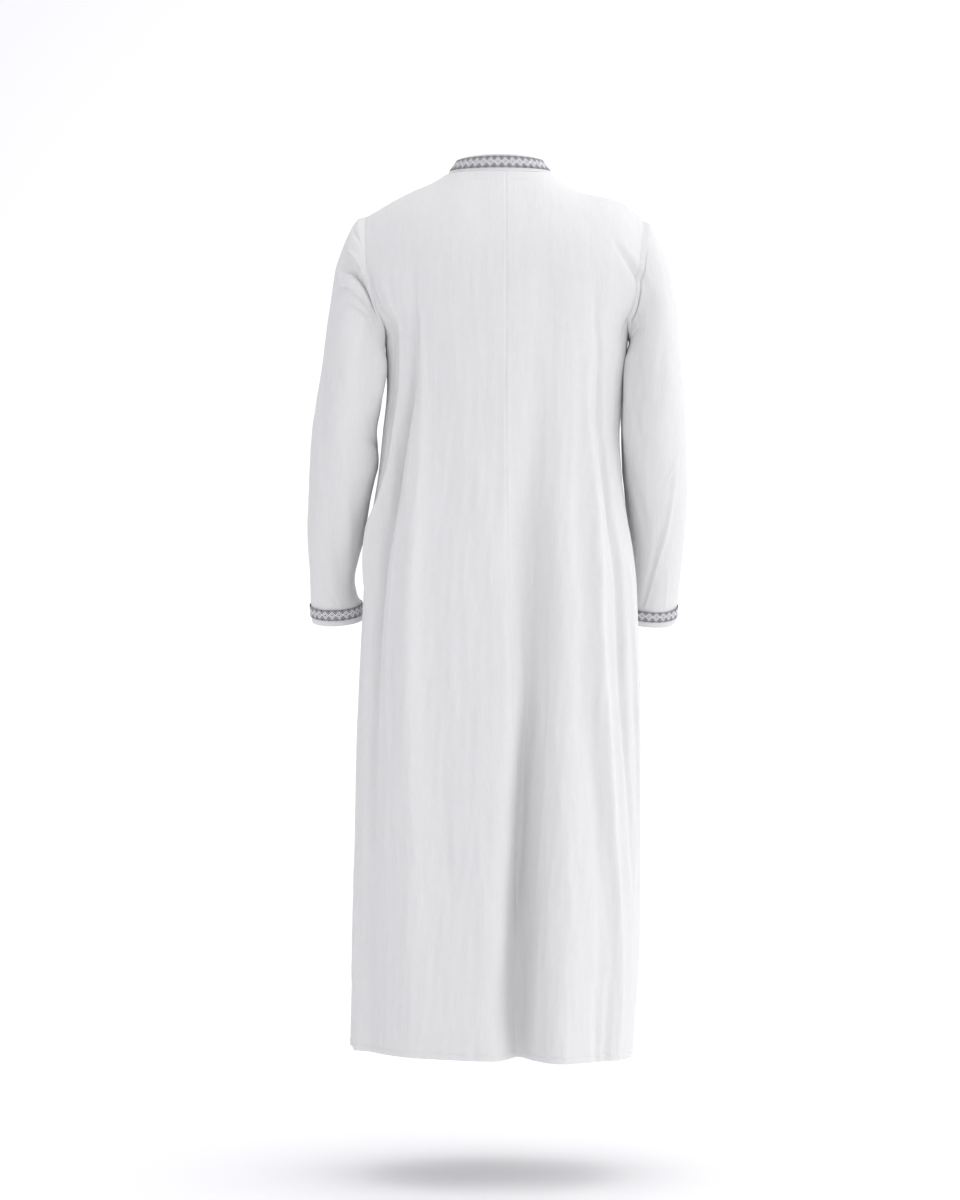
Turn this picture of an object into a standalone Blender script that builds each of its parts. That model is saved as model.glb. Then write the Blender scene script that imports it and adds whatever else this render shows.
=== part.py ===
"""A long white kaftan with a stand collar and set-in sleeves, standing open as it hangs on its wearer.

Metres, +Z up. The origin is midway between the two neck points of the shoulder seams.
The front faces -Y and the wearer's left side is +X.
"""

from collections import namedtuple

import bmesh
import bpy
import numpy as np
from mathutils import Vector

# Cloth
CLOTH = 0.0015
COLLAR_CLOTH = 0.0018
TAPE_CLOTH = 0.001
SEAM_GAP = 0.0003
HALF_GAP = SEAM_GAP / 2

# Body tube below the armholes. Half widths at the two side seams, and how far the cloth stands behind and
# in front of the line between them.
Level = namedtuple("Level", "z left right back front")
BODY = [
    Level(-0.255, 0.185, 0.206, 0.118, 0.133),
    Level(-0.300, 0.182, 0.201, 0.119, 0.134),
    Level(-0.350, 0.181, 0.193, 0.118, 0.134),
    Level(-0.410, 0.187, 0.188, 0.117, 0.135),
    Level(-0.478, 0.194, 0.194, 0.119, 0.138),
    Level(-0.554, 0.206, 0.204, 0.125, 0.142),
    Level(-0.638, 0.216, 0.217, 0.133, 0.146),
    Level(-0.720, 0.221, 0.221, 0.138, 0.149),
    Level(-0.894, 0.229, 0.225, 0.145, 0.154),
    Level(-1.090, 0.233, 0.225, 0.151, 0.160),
    Level(-1.256, 0.236, 0.222, 0.156, 0.166),
    Level(-1.400, 0.240, 0.213, 0.160, 0.171),
]
ROUNDNESS = 2.3
HEM_Z = -1.3975
HEM_TILT = 0.0078
PIT_MID_Z = -0.266

# Armholes. The tip is where the shoulder seam ends, and the pit is the bottom of the armhole.
Armhole = namedtuple("Armhole", "tip_x tip_z pit_x pit_z back front bulge")
LEFT_ARMHOLE = Armhole(0.2144, -0.069, 0.1838, -0.272, 0.056, 0.058, 0.010)
RIGHT_ARMHOLE = Armhole(0.2220, -0.076, 0.2055, -0.262, 0.056, 0.058, 0.006)
SHOULDER_ROUND = 0.60

# Shoulder seams, from the neck point at 0 to the tip at 1
ShoulderPoint = namedtuple("ShoulderPoint", "way left_z right_z")
SHOULDER_LINE = [
    ShoulderPoint(0.00, 0.0000, 0.0000),
    ShoulderPoint(0.17, -0.0140, -0.0215),
    ShoulderPoint(0.40, -0.0265, -0.0335),
    ShoulderPoint(0.65, -0.0430, -0.0415),
    ShoulderPoint(0.88, -0.0605, -0.0580),
    ShoulderPoint(1.00, -0.0690, -0.0760),
]

# Neckline, where the collar is sewn on
NECK_HALF_WIDTH = 0.083
NECK_BACK = 0.062
NECK_FRONT = 0.088
NECK_FRONT_DROP = 0.046
NECK_BACK_DROP = 0.003

# Stand collar
COLLAR_HEIGHT = 0.0285
COLLAR_TOP_HALF_WIDTH = 0.0665
COLLAR_TOP_BACK = 0.056
COLLAR_TOP_FRONT = 0.077
COLLAR_FRONT_OPENING = 0.0015
COLLAR_GAP = 0.0005
TAPE_WIDTH = 0.0195
COLLAR_TAPE_FOOT = 0.0055

# Centre back seam, which swings to the wearer's right as it falls
SEAM_ANGLE = [(-0.05, -1.4), (-0.68, -2.3), (-1.00, -4.6), (-1.40, -5.2)]

# Folds of the body. An angle is measured round the body from the centre back, and grows towards the wearer's
# left side at 90 and the centre front at 180. kept is the share of the depth that is left at the low end.
Fold = namedtuple("Fold", "top low angle_top angle_mid angle_low width depth kept")
FOLDS = [
    Fold(-0.14, -0.76, 34, 54, 63, 0.022, -0.013, 0.0),
    Fold(-0.16, -0.60, 46, 62, 70, 0.018, 0.007, 0.0),
    Fold(-0.12, -0.37, 60, 66, 74, 0.016, -0.008, 0.0),
    Fold(-0.14, -0.62, -18, -22, -16, 0.016, -0.004, 0.4),
    Fold(-0.50, -1.41, -15, -9.5, -7.5, 0.019, -0.036, 1.0),
    Fold(-0.62, -1.41, -26, -21, -19, 0.026, 0.017, 1.0),
    Fold(-0.14, -0.52, -42, -56, -74, 0.017, -0.009, 0.0),
    Fold(-0.44, -1.41, -50, -51, -66, 0.018, 0.012, 0.5),
    Fold(-0.52, -1.12, -61, -68, -74, 0.016, -0.011, 0.0),
    Fold(-0.50, -1.41, 66, 62, 58, 0.020, -0.008, 0.6),
    Fold(-0.56, -1.41, 50, 49, 46, 0.014, 0.005, 0.5),
    Fold(-1.05, -1.41, 84, 74, 64, 0.018, 0.009, 1.0),
    Fold(-0.60, -1.41, 24, 27, 30, 0.040, -0.008, 1.0),
    Fold(-0.70, -1.41, -38, -37, -38, 0.022, -0.010, 1.0),
    Fold(-0.42, -1.41, -96, -100, -98, 0.026, -0.014, 1.0),
    Fold(-0.50, -1.41, 101, 104, 103, 0.026, -0.013, 1.0),
    Fold(-0.30, -1.41, -128, -131, -134, 0.030, 0.016, 1.0),
    Fold(-0.48, -1.41, -146, -149, -152, 0.026, -0.022, 1.0),
    Fold(-0.30, -1.41, 126, 130, 132, 0.030, 0.014, 1.0),
    Fold(-0.44, -1.41, 143, 150, 153, 0.028, -0.024, 1.0),
    Fold(-0.60, -1.41, 166, 170, 171, 0.030, 0.013, 1.0),
    Fold(-0.70, -1.41, -170, -169, -168, 0.028, -0.014, 1.0),
]

# Sleeves, each a row of rings from the armhole to the wrist. The outer and inner points are the outline seen
# from behind, y is the ring's middle, depth is half its front-to-back size, and lean tips its back edge down.
Ring = namedtuple("Ring", "outer_x outer_z inner_x inner_z y depth lean")
LEFT_SLEEVE = [
    Ring(0.2144, -0.069, 0.1838, -0.272, 0.000, 0.0560, 0.00),
    Ring(0.2290, -0.075, 0.1858, -0.274, 0.000, 0.0600, 0.00),
    Ring(0.2460, -0.104, 0.1872, -0.276, 0.000, 0.0640, 0.00),
    Ring(0.2620, -0.150, 0.1880, -0.280, 0.000, 0.0690, 0.00),
    Ring(0.2720, -0.212, 0.1880, -0.289, 0.001, 0.0720, 0.00),
    Ring(0.2800, -0.270, 0.1874, -0.306, 0.002, 0.0735, 0.00),
    Ring(0.2860, -0.322, 0.1868, -0.334, 0.004, 0.0735, 0.00),
    Ring(0.2935, -0.366, 0.1905, -0.372, 0.006, 0.0720, 0.02),
    Ring(0.3000, -0.410, 0.1965, -0.412, 0.006, 0.0700, 0.04),
    Ring(0.3045, -0.474, 0.1950, -0.466, -0.004, 0.0670, 0.08),
    Ring(0.3080, -0.533, 0.2070, -0.525, -0.016, 0.0620, 0.15),
    Ring(0.3095, -0.585, 0.2195, -0.586, -0.032, 0.0560, 0.20),
    Ring(0.3070, -0.638, 0.2335, -0.640, -0.052, 0.0490, 0.24),
    Ring(0.3065, -0.674, 0.2310, -0.674, -0.064, 0.0440, 0.26),
    Ring(0.3060, -0.690, 0.2245, -0.687, -0.069, 0.0420, 0.26),
    Ring(0.3045, -0.715, 0.2215, -0.711, -0.077, 0.0415, 0.26),
]
RIGHT_SLEEVE = [
    Ring(0.2220, -0.076, 0.2055, -0.262, 0.000, 0.0560, 0.00),
    Ring(0.2360, -0.083, 0.2075, -0.264, 0.000, 0.0600, 0.00),
    Ring(0.2545, -0.110, 0.2085, -0.266, 0.000, 0.0640, 0.00),
    Ring(0.2700, -0.148, 0.2085, -0.271, 0.000, 0.0690, 0.00),
    Ring(0.2810, -0.205, 0.2078, -0.281, 0.000, 0.0720, 0.00),
    Ring(0.2875, -0.270, 0.2062, -0.298, 0.000, 0.0735, 0.00),
    Ring(0.2920, -0.325, 0.2035, -0.332, 0.000, 0.0735, 0.00),
    Ring(0.2955, -0.370, 0.2005, -0.370, -0.002, 0.0720, 0.02),
    Ring(0.2980, -0.410, 0.1965, -0.414, -0.006, 0.0700, 0.06),
    Ring(0.3000, -0.474, 0.1970, -0.475, -0.020, 0.0660, 0.14),
    Ring(0.3010, -0.533, 0.2030, -0.528, -0.040, 0.0600, 0.22),
    Ring(0.2975, -0.590, 0.2085, -0.585, -0.060, 0.0550, 0.28),
    Ring(0.2935, -0.640, 0.2100, -0.636, -0.078, 0.0490, 0.30),
    Ring(0.2900, -0.680, 0.2085, -0.675, -0.090, 0.0440, 0.30),
    Ring(0.2885, -0.693, 0.2070, -0.690, -0.094, 0.0425, 0.30),
    Ring(0.2875, -0.716, 0.2055, -0.712, -0.101, 0.0415, 0.30),
]
CUFF_MARGIN = 0.0095

# Creases of a sleeve. ring is its place along the table above, angle runs round from the outer edge by way of
# the back, slant is how far along it slides in a turn of the arm, and long and wide are half sizes.
Crease = namedtuple("Crease", "ring angle slant long wide depth")
LEFT_CREASES = [
    Crease(3.2, 100, 2.2, 55, 0.55, -0.006),
    Crease(4.6, 120, 2.6, 50, 0.50, 0.004),
    Crease(7.4, 170, -1.2, 60, 0.35, -0.006),
    Crease(8.4, 250, 1.0, 60, 0.40, -0.006),
    Crease(9.4, 230, -1.4, 60, 0.40, -0.005),
    Crease(11.6, 150, -3.0, 50, 0.45, -0.005),
    Crease(6.5, 290, 1.8, 60, 0.50, -0.005),
]
RIGHT_CREASES = [
    Crease(2.6, 70, 2.0, 45, 0.55, -0.005),
    Crease(4.8, 130, -2.0, 50, 0.45, -0.005),
    Crease(7.6, 190, 1.2, 60, 0.40, -0.006),
    Crease(8.8, 240, -1.0, 60, 0.40, -0.006),
    Crease(9.6, 60, 3.6, 50, 0.50, 0.004),
    Crease(11.4, 110, 3.0, 55, 0.50, -0.004),
    Crease(6.4, 285, -1.8, 60, 0.50, -0.005),
]

# Front opening
SLIT_LOW_Z = -0.335
SLIT_HALF_WIDTH = 0.0006
PLACKET_WIDTH = 0.034
PLACKET_BELOW_SLIT = 0.022
PLACKET_CLOTH = 0.0012
BUTTON_COUNT = 4
BUTTON_RADIUS = 0.006
BUTTON_THICKNESS = 0.0026
BUTTON_FIRST_Z = -0.085
BUTTON_SPACING = 0.072

# Mesh steps
ARMHOLE_STEPS = 12
BODY_STEPS = 20
NECK_COLUMNS = 7
SHOULDER_COLUMNS = 10
SLEEVE_RINGS = 24
FULL_TURN = 360
FRONT_SIDE = 90.0 + 1e-6

WHITE_CLOTH = (0.86, 0.86, 0.88, 1)
TAPE_GREY = (0.32, 0.31, 0.33, 1)
BUTTON_WHITE = (0.90, 0.90, 0.88, 1)


def clear_scene():
    for obj in list(bpy.data.objects):
        bpy.data.objects.remove(obj)


def material(name, colour, roughness):
    made = bpy.data.materials.new(name)
    made.use_nodes = True
    shader = made.node_tree.nodes["Principled BSDF"]
    shader.inputs["Base Color"].default_value = colour
    shader.inputs["Roughness"].default_value = roughness
    shader.inputs["Metallic"].default_value = 0.0
    return made


def smooth(stations, values, at):
    """A smooth curve through a table's column, read at any station."""
    stations = np.asarray(stations, float)
    values = np.asarray(values, float)
    if stations[0] > stations[-1]:
        stations, values = stations[::-1], values[::-1]
    slopes = np.gradient(values, stations)
    at = np.clip(at, stations[0], stations[-1])
    i = np.clip(np.searchsorted(stations, at) - 1, 0, len(stations) - 2)
    step = stations[i + 1] - stations[i]
    t = (at - stations[i]) / step
    return (
        (2 * t**3 - 3 * t**2 + 1) * values[i]
        + (t**3 - 2 * t**2 + t) * step * slopes[i]
        + (3 * t**2 - 2 * t**3) * values[i + 1]
        + (t**3 - t**2) * step * slopes[i + 1]
    )


def column(rows, name):
    return [getattr(row, name) for row in rows]


def neck_ring(turn):
    """The neckline. turn is 0 at the centre back, 90 at the wearer's left neck point, 180 at the front."""
    t = np.radians(turn)
    back = np.cos(t) >= 0
    ahead = np.abs(np.cos(t))
    x = NECK_HALF_WIDTH * np.sin(t)
    y = np.where(back, NECK_BACK * ahead, -NECK_FRONT * ahead)
    z = np.where(back, -NECK_BACK_DROP * ahead, -NECK_FRONT_DROP * ahead**1.5)
    return np.stack([x, y, z], axis=-1)


def neck_turn(angle):
    """The place on the neckline that a column of the body runs up to. Columns past the neck stop at 90."""
    t = np.radians(angle)
    tip_x = np.where(np.sin(t) >= 0, LEFT_ARMHOLE.tip_x, RIGHT_ARMHOLE.tip_x)
    turn = np.degrees(np.arcsin(np.clip(np.abs(np.sin(t)) ** (2 / ROUNDNESS) * tip_x / NECK_HALF_WIDTH, 0, 1)))
    return np.where(np.sin(t) >= 0, 1, -1) * np.where(np.abs(angle) <= 90, turn, 180 - turn)


def fold_height(angle, z, round_width):
    """How far the folds push the cloth out, or in where it is negative."""
    total = np.zeros(np.broadcast(angle, z).shape)
    for fold in FOLDS:
        way = np.clip((fold.top - z) / (fold.top - fold.low), 0, 1)
        centre = smooth([0, 0.5, 1], [fold.angle_top, fold.angle_mid, fold.angle_low], way)
        off = (angle - centre + FULL_TURN / 2) % FULL_TURN - FULL_TURN / 2
        across = np.radians(off) * round_width / fold.width
        grown = np.sin(np.pi / 2 * np.clip(way / 0.62, 0, 1)) ** 2
        left_over = 1 - (1 - fold.kept) * np.clip((way - 0.62) / 0.38, 0, 1) ** 1.5
        total = total + fold.depth * grown * left_over * np.exp(-(across**2))
    return total


def body_point(angle, fall):
    """A point of the body's outer face.

    angle goes round the body from the centre back. fall is 0 on the neckline and shoulder seam, 1 at the
    height of the armpits and 2 at the hem.
    """
    angle, fall = np.broadcast_arrays(np.asarray(angle, float), np.asarray(fall, float))
    t = np.radians(angle)
    left = np.sin(t) >= 0
    back = np.abs(angle) <= 90
    sign = np.where(left, 1.0, -1.0)
    share = np.abs(np.sin(t)) ** (2 / ROUNDNESS)
    ahead = np.abs(np.cos(t)) ** (2 / ROUNDNESS)
    hole = {name: np.where(left, getattr(LEFT_ARMHOLE, name), getattr(RIGHT_ARMHOLE, name))
            for name in Armhole._fields}

    pit_z = PIT_MID_Z + share**2 * (hole["pit_z"] - PIT_MID_Z)
    hem_z = HEM_Z + HEM_TILT * np.sin(t)
    z = pit_z + (hem_z - pit_z) * np.clip(fall - 1, 0, 1)
    levels = column(BODY, "z")
    width = np.where(left, smooth(levels, column(BODY, "left"), z), smooth(levels, column(BODY, "right"), z))
    depth = np.where(back, smooth(levels, column(BODY, "back"), z), smooth(levels, column(BODY, "front"), z))
    x = width * share
    y = depth * ahead

    # Above the armpits the rows climb to the shoulder seam and the neckline.
    climb = np.clip(fall, 0, 1)
    top_x = share * hole["tip_x"]
    on_neck = top_x < NECK_HALF_WIDTH
    neck = neck_ring(neck_turn(angle))
    down_seam = np.clip((top_x - NECK_HALF_WIDTH) / (hole["tip_x"] - NECK_HALF_WIDTH), 0, 1)
    top_y = np.where(on_neck, np.abs(neck[..., 1]), 0.0)
    way = column(SHOULDER_LINE, "way")
    left_z = smooth(way, column(SHOULDER_LINE, "left_z"), down_seam)
    right_z = smooth(way, column(SHOULDER_LINE, "right_z"), down_seam)
    top_z = np.where(on_neck, neck[..., 2], np.where(left, left_z, right_z))
    side_x = hole["tip_x"] + (hole["pit_x"] - hole["tip_x"]) * climb + hole["bulge"] * np.sin(np.pi * climb)
    side_y = np.where(back, hole["back"], hole["front"]) * 2 * np.sqrt(climb * (1 - climb))
    stop = np.arccos((side_y / depth) ** (ROUNDNESS / 2))
    upper = fall < 1
    along = np.arcsin(np.clip(np.abs(np.sin(t)), 0, 1)) * np.where(upper, stop / (np.pi / 2), 1)
    share = np.sin(along) ** (2 / ROUNDNESS)
    ahead = np.cos(along) ** (2 / ROUNDNESS)
    reach = np.clip(climb / SHOULDER_ROUND, 0, 1)
    ridge = np.sqrt(1 - (1 - reach) ** 2)
    slope = np.sin(np.pi / 2 * reach)
    over_seam = np.clip((share - 0.12) / 0.38, 0, 1)
    over = slope + (ridge - slope) * over_seam**2 * (3 - 2 * over_seam)
    wide = hole["tip_x"] + (hole["pit_x"] - hole["tip_x"]) * climb**2 * (3 - 2 * climb)
    last = np.sin(stop) ** (2 / ROUNDNESS)
    x = np.where(upper, wide * share + (side_x - wide * last) * (share / last) ** 4, x)
    y = np.where(upper, top_y + (depth * ahead - top_y) * over, y)
    z = np.where(upper, top_z + (pit_z - top_z) * climb, z)

    round_angle = np.degrees(np.where(back, along, np.pi - along)) * sign
    push = fold_height(round_angle, z, (width + depth) / 2)
    out_x = share ** (ROUNDNESS - 1) / width
    out_y = ahead ** (ROUNDNESS - 1) / depth
    length = np.hypot(out_x, out_y)
    x = x + push * out_x / length
    y = y + push * out_y / length
    return np.stack([sign * x, np.where(back, y, -y), z], axis=-1)


def crease_height(creases, ring, angle):
    total = np.zeros(np.broadcast(ring, angle).shape)
    for crease in creases:
        off = (angle - crease.angle + FULL_TURN / 2) % FULL_TURN - FULL_TURN / 2
        along = ring - crease.ring - crease.slant * off / FULL_TURN
        total = total + crease.depth * np.exp(-((along / crease.wide) ** 2) - (off / crease.long) ** 2)
    return total


def sleeve_point(side, ring, angle):
    """A point of a sleeve's outer face. angle is 0 at its outer edge, 90 at the back and 180 inside."""
    rows, creases = (LEFT_SLEEVE, LEFT_CREASES) if side > 0 else (RIGHT_SLEEVE, RIGHT_CREASES)
    ring, angle = np.broadcast_arrays(np.asarray(ring, float), np.asarray(angle, float))
    t = np.radians(angle)

    def oval(at):
        places = np.arange(len(rows))
        c = {name: smooth(places, column(rows, name), at) for name in Ring._fields}
        push = crease_height(creases, at, angle) if at is ring else 0.0
        half_x = (c["outer_x"] - c["inner_x"]) / 2
        half_z = (c["outer_z"] - c["inner_z"]) / 2
        half = np.hypot(half_x, half_z)
        grow = 1 + push / half
        grow_y = 1 + push / c["depth"]
        x = (c["outer_x"] + c["inner_x"]) / 2 + np.cos(t) * half_x * grow
        y = c["y"] + np.sin(t) * c["depth"] * grow_y
        z = (c["outer_z"] + c["inner_z"]) / 2 + np.cos(t) * half_z * grow - np.sin(t) * c["lean"] * c["depth"]
        return np.stack([side * x, y, z], axis=-1)

    climb = (1 - np.cos(t)) / 2
    edge = side * np.where(np.sin(t) >= 0, 90.0, FRONT_SIDE)
    armhole = body_point(edge, climb)
    still_armhole = np.exp(-((ring / 1.6) ** 2))[..., None]
    return oval(ring) + (armhole - oval(ring * 0)) * still_armhole


def face_normals(points, wrap, outward_from):
    """Unit normals of a grid of points, each made to point away from outward_from's matching point."""
    if wrap:
        across = np.roll(points, -1, axis=1) - np.roll(points, 1, axis=1)
    else:
        across = np.gradient(points, axis=1)
    down = np.gradient(points, axis=0)
    normal = np.cross(across, down)
    length = np.linalg.norm(normal, axis=-1, keepdims=True)
    normal = normal / np.maximum(length, 1e-12)
    turned = (normal * (points - outward_from)).sum(-1, keepdims=True) < 0
    return np.where(turned, -normal, normal)


def wall(name, outer, inner, cloth, wrap=False, open_cells=()):
    """A closed cloth wall between two grids of points. open_cells are cells of the grid left open."""
    rows, columns = outer.shape[:2]
    count = rows * columns
    mesh = bpy.data.meshes.new(name)
    bm = bmesh.new()
    verts = [bm.verts.new(p) for p in np.concatenate([outer.reshape(-1, 3), inner.reshape(-1, 3)])]
    last = columns if wrap else columns - 1
    edges = {}
    for i in range(rows - 1):
        for j in range(last):
            if (i, j) in open_cells:
                continue
            k = (j + 1) % columns
            corners = [i * columns + j, (i + 1) * columns + j, (i + 1) * columns + k, i * columns + k]
            bm.faces.new([verts[c] for c in corners])
            bm.faces.new([verts[c + count] for c in reversed(corners)])
            for a, b in zip(corners, corners[1:] + corners[:1]):
                edges[frozenset((a, b))] = None if frozenset((a, b)) in edges else (a, b)
    for pair in edges.values():
        if pair:
            a, b = pair
            bm.faces.new([verts[b], verts[a], verts[a + count], verts[b + count]])
    loose = [v for v in bm.verts if not v.link_faces]
    bmesh.ops.delete(bm, geom=loose, context="VERTS")
    bmesh.ops.recalc_face_normals(bm, faces=bm.faces)
    bm.to_mesh(mesh)
    bm.free()
    mesh.shade_smooth()
    mesh.set_sharp_from_angle(angle=np.radians(40))
    obj = bpy.data.objects.new(name, mesh)
    obj.data.materials.append(cloth)
    return obj


def body_columns(side):
    """Angles from the centre back to the side, with one column on the neck point of the shoulder seam."""
    neck_share = NECK_HALF_WIDTH / (LEFT_ARMHOLE if side > 0 else RIGHT_ARMHOLE).tip_x
    neck_angle = np.degrees(np.arcsin(neck_share ** (ROUNDNESS / 2)))
    return np.concatenate([np.linspace(0, neck_angle, NECK_COLUMNS + 1)[:-1],
                           np.linspace(neck_angle, 90, SHOULDER_COLUMNS + 1)])


def body_rows():
    climb = (1 - np.cos(np.linspace(0, np.pi, ARMHOLE_STEPS + 1))) / 2
    return np.concatenate([climb, 1 + np.linspace(0, 1, BODY_STEPS + 1)[1:]])


def seam_angle(fall):
    z = np.interp(fall, [0, 1, 2], [0, PIT_MID_Z, HEM_Z])
    places, angles = zip(*SEAM_ANGLE)
    return smooth(places, angles, z)


def quarter_angles(side, front, fall):
    """The angles of a quarter's columns, from the centre line to the side seam."""
    angle = side * body_columns(side)[None, :] + 0 * fall
    if front:
        angle = side * 180 - angle
        angle[:, -1] = side * FRONT_SIDE
        return angle
    neck_column = body_columns(side)[NECK_COLUMNS]
    return angle + seam_angle(fall) * np.clip(1 - np.abs(angle) / neck_column, 0, 1)


def quarter(side, front):
    """A grid of the body's outer face, from the centre line to the side seam of one side."""
    fall = body_rows()[:, None]
    return body_point(quarter_angles(side, front, fall), fall)


def inside_of(points):
    """The middle line of the body, level with each point."""
    middle = np.zeros_like(points)
    middle[..., 2] = np.minimum(points[..., 2] - 0.02, -0.12)
    return middle


def sleeve_grid(side):
    rows = LEFT_SLEEVE if side > 0 else RIGHT_SLEEVE
    last = len(rows) - 1
    near = np.linspace(0, 6, 9)[:-1]
    ring = np.concatenate([near, np.linspace(6, last, SLEEVE_RINGS - len(near))])
    angle = np.linspace(0, FULL_TURN, 2 * ARMHOLE_STEPS, endpoint=False)
    points = sleeve_point(side, ring[:, None], angle[None, :])
    return points, ring


def shared(first, second):
    """Two pieces' normals along their common seam, averaged."""
    total = first + second
    return total / np.linalg.norm(total, axis=-1, keepdims=True)


def body_and_sleeves():
    """Outer grids and their normals, with the normals of pieces that meet made equal along each seam."""
    grids, normals = {}, {}
    for side in (1, -1):
        for front in (False, True):
            key = (side, front)
            grids[key] = quarter(side, front)
            normals[key] = face_normals(grids[key], False, inside_of(grids[key]))
    for side in (1, -1):
        points, _ = sleeve_grid(side)
        grids[side] = points
        normals[side] = face_normals(points, True, points.mean(axis=1, keepdims=True))

    first_seam_column = NECK_COLUMNS
    for side in (1, -1):
        back, front = normals[side, False], normals[side, True]
        top = shared(back[0, first_seam_column:], front[0, first_seam_column:])
        back[0, first_seam_column:] = top
        front[0, first_seam_column:] = top
        seam = shared(back[ARMHOLE_STEPS:, -1], front[ARMHOLE_STEPS:, -1])
        back[ARMHOLE_STEPS:, -1] = seam
        front[ARMHOLE_STEPS:, -1] = seam
        steps = ARMHOLE_STEPS
        for face, places in ((back, range(steps + 1)), (front, [0, *range(2 * steps - 1, steps - 1, -1)])):
            for row, place in enumerate(places):
                both = shared(face[row, -1], normals[side][0, place])
                face[row, -1] = both
        ring = normals[side][0]
        for place in range(2 * steps):
            face, row = (back, place) if place <= steps else (front, 2 * steps - place)
            ring[place] = face[row, -1]
    for front in (False, True):
        centre = shared(normals[1, front][:, 0], normals[-1, front][:, 0])
        normals[1, front][:, 0] = centre
        normals[-1, front][:, 0] = centre
    return grids, normals


def part_edges(points, side, front, split_centre):
    """The grid drawn back from its seams, so that pieces stand a hair apart."""
    points = points.copy()
    face = -1.0 if front else 1.0
    points[ARMHOLE_STEPS:, -1, 1] += face * HALF_GAP
    points[0, NECK_COLUMNS:, 1] += face * HALF_GAP
    if split_centre:
        points[:, 0, 0] += side * HALF_GAP
    return points


def placed(obj, parent):
    bpy.context.scene.collection.objects.unlink(obj) if obj.name in bpy.context.scene.collection.objects else None
    parent.objects.link(obj)
    return obj


def make_body(parts, cloth, grids, normals):
    for side, name in ((1, "back_left"), (-1, "back_right")):
        outer = part_edges(grids[side, False], side, False, True)
        placed(wall(name, outer, outer - CLOTH * normals[side, False], cloth), parts)

    # The front is one panel, slit down from the neckline.
    halves = {side: part_edges(grids[side, True], side, True, False) for side in (1, -1)}
    fall = body_rows()
    slit_rows = [i for i in range(len(fall) - 1) if halves[1][i + 1, 0, 2] > SLIT_LOW_Z]
    for side in (1, -1):
        halves[side][:, 0, 0] = side * SLIT_HALF_WIDTH
    outer = np.concatenate([halves[-1][:, ::-1], halves[1]], axis=1)
    facing = np.concatenate([normals[-1, True][:, ::-1], normals[1, True]], axis=1)
    middle = halves[1].shape[1] - 1
    open_cells = {(i, middle) for i in slit_rows}
    placed(wall("front", outer, outer - CLOTH * facing, cloth, open_cells=open_cells), parts)


def make_sleeve(parts, side, cloth, tape, grids, normals):
    name = "left" if side > 0 else "right"
    outer = grids[side].copy()
    away = outer[1] - outer[0]
    outer[0] += SEAM_GAP * away / np.linalg.norm(away, axis=-1, keepdims=True)
    placed(wall(f"sleeve_{name}", outer, outer - CLOTH * normals[side], cloth, wrap=True), parts)

    last = len(LEFT_SLEEVE) - 1
    angle = np.linspace(0, FULL_TURN, 2 * ARMHOLE_STEPS, endpoint=False)
    ends = sleeve_point(side, np.array([[last - 0.5], [last]]), angle[None, :])
    ring_length = np.linalg.norm(ends[1] - ends[0], axis=-1).mean() / 0.5
    foot = last - CUFF_MARGIN / ring_length
    head = foot - TAPE_WIDTH / ring_length
    strip = sleeve_point(side, np.linspace(head, foot, 3)[:, None], angle[None, :])
    facing = face_normals(strip, True, strip.mean(axis=1, keepdims=True))
    inner = strip + SEAM_GAP * facing
    placed(wall(f"cuff_tape_{name}", inner + TAPE_CLOTH * facing, inner, tape, wrap=True), parts)


def collar_point(turn, up):
    """A point of the collar's outer face, up being its height above the neckline as a share."""
    t = np.radians(turn)
    back = np.cos(t) >= 0
    ahead = np.abs(np.cos(t))
    foot = neck_ring(turn)
    top_x = COLLAR_TOP_HALF_WIDTH * np.sin(t)
    top_y = np.where(back, COLLAR_TOP_BACK * ahead, -COLLAR_TOP_FRONT * ahead)
    lean = np.hypot(foot[..., 0] - top_x, foot[..., 1] - top_y)
    top_z = foot[..., 2] + np.sqrt(COLLAR_HEIGHT**2 - lean**2)
    top = np.stack([top_x, top_y, top_z], axis=-1)
    return foot + (top - foot) * np.asarray(up)[..., None]


def make_collar(parts, cloth, tape):
    opening = np.degrees(COLLAR_FRONT_OPENING / NECK_HALF_WIDTH)
    top_row = np.zeros((1, 1))
    quarters = [neck_turn(quarter_angles(side, front, top_row))[0, : NECK_COLUMNS + 1]
                for side, front in ((-1, True), (-1, False), (1, False), (1, True))]
    turn = np.concatenate([quarters[0], quarters[1][-2::-1], quarters[2][1:], quarters[3][-2::-1]])
    turn[0], turn[-1] = -180 + opening, 180 - opening

    def band(low, high, rows):
        up = np.linspace(low, high, rows)[:, None] / COLLAR_HEIGHT
        points = collar_point(turn[None, :] + 0 * up, up + 0 * turn[None, :])
        middle = points.mean(axis=1, keepdims=True)
        return points, face_normals(points, False, middle)

    outer, facing = band(0, COLLAR_HEIGHT, 4)
    outer[0, :, 2] += COLLAR_GAP
    inner = outer - COLLAR_CLOTH * facing
    inner[0, :, 2] = outer[0, :, 2]
    placed(wall("collar", outer, inner, cloth), parts)
    strip, facing = band(COLLAR_TAPE_FOOT, COLLAR_TAPE_FOOT + TAPE_WIDTH, 3)
    inner = strip + SEAM_GAP * facing
    placed(wall("collar_tape", inner + TAPE_CLOTH * facing, inner, tape), parts)


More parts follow.
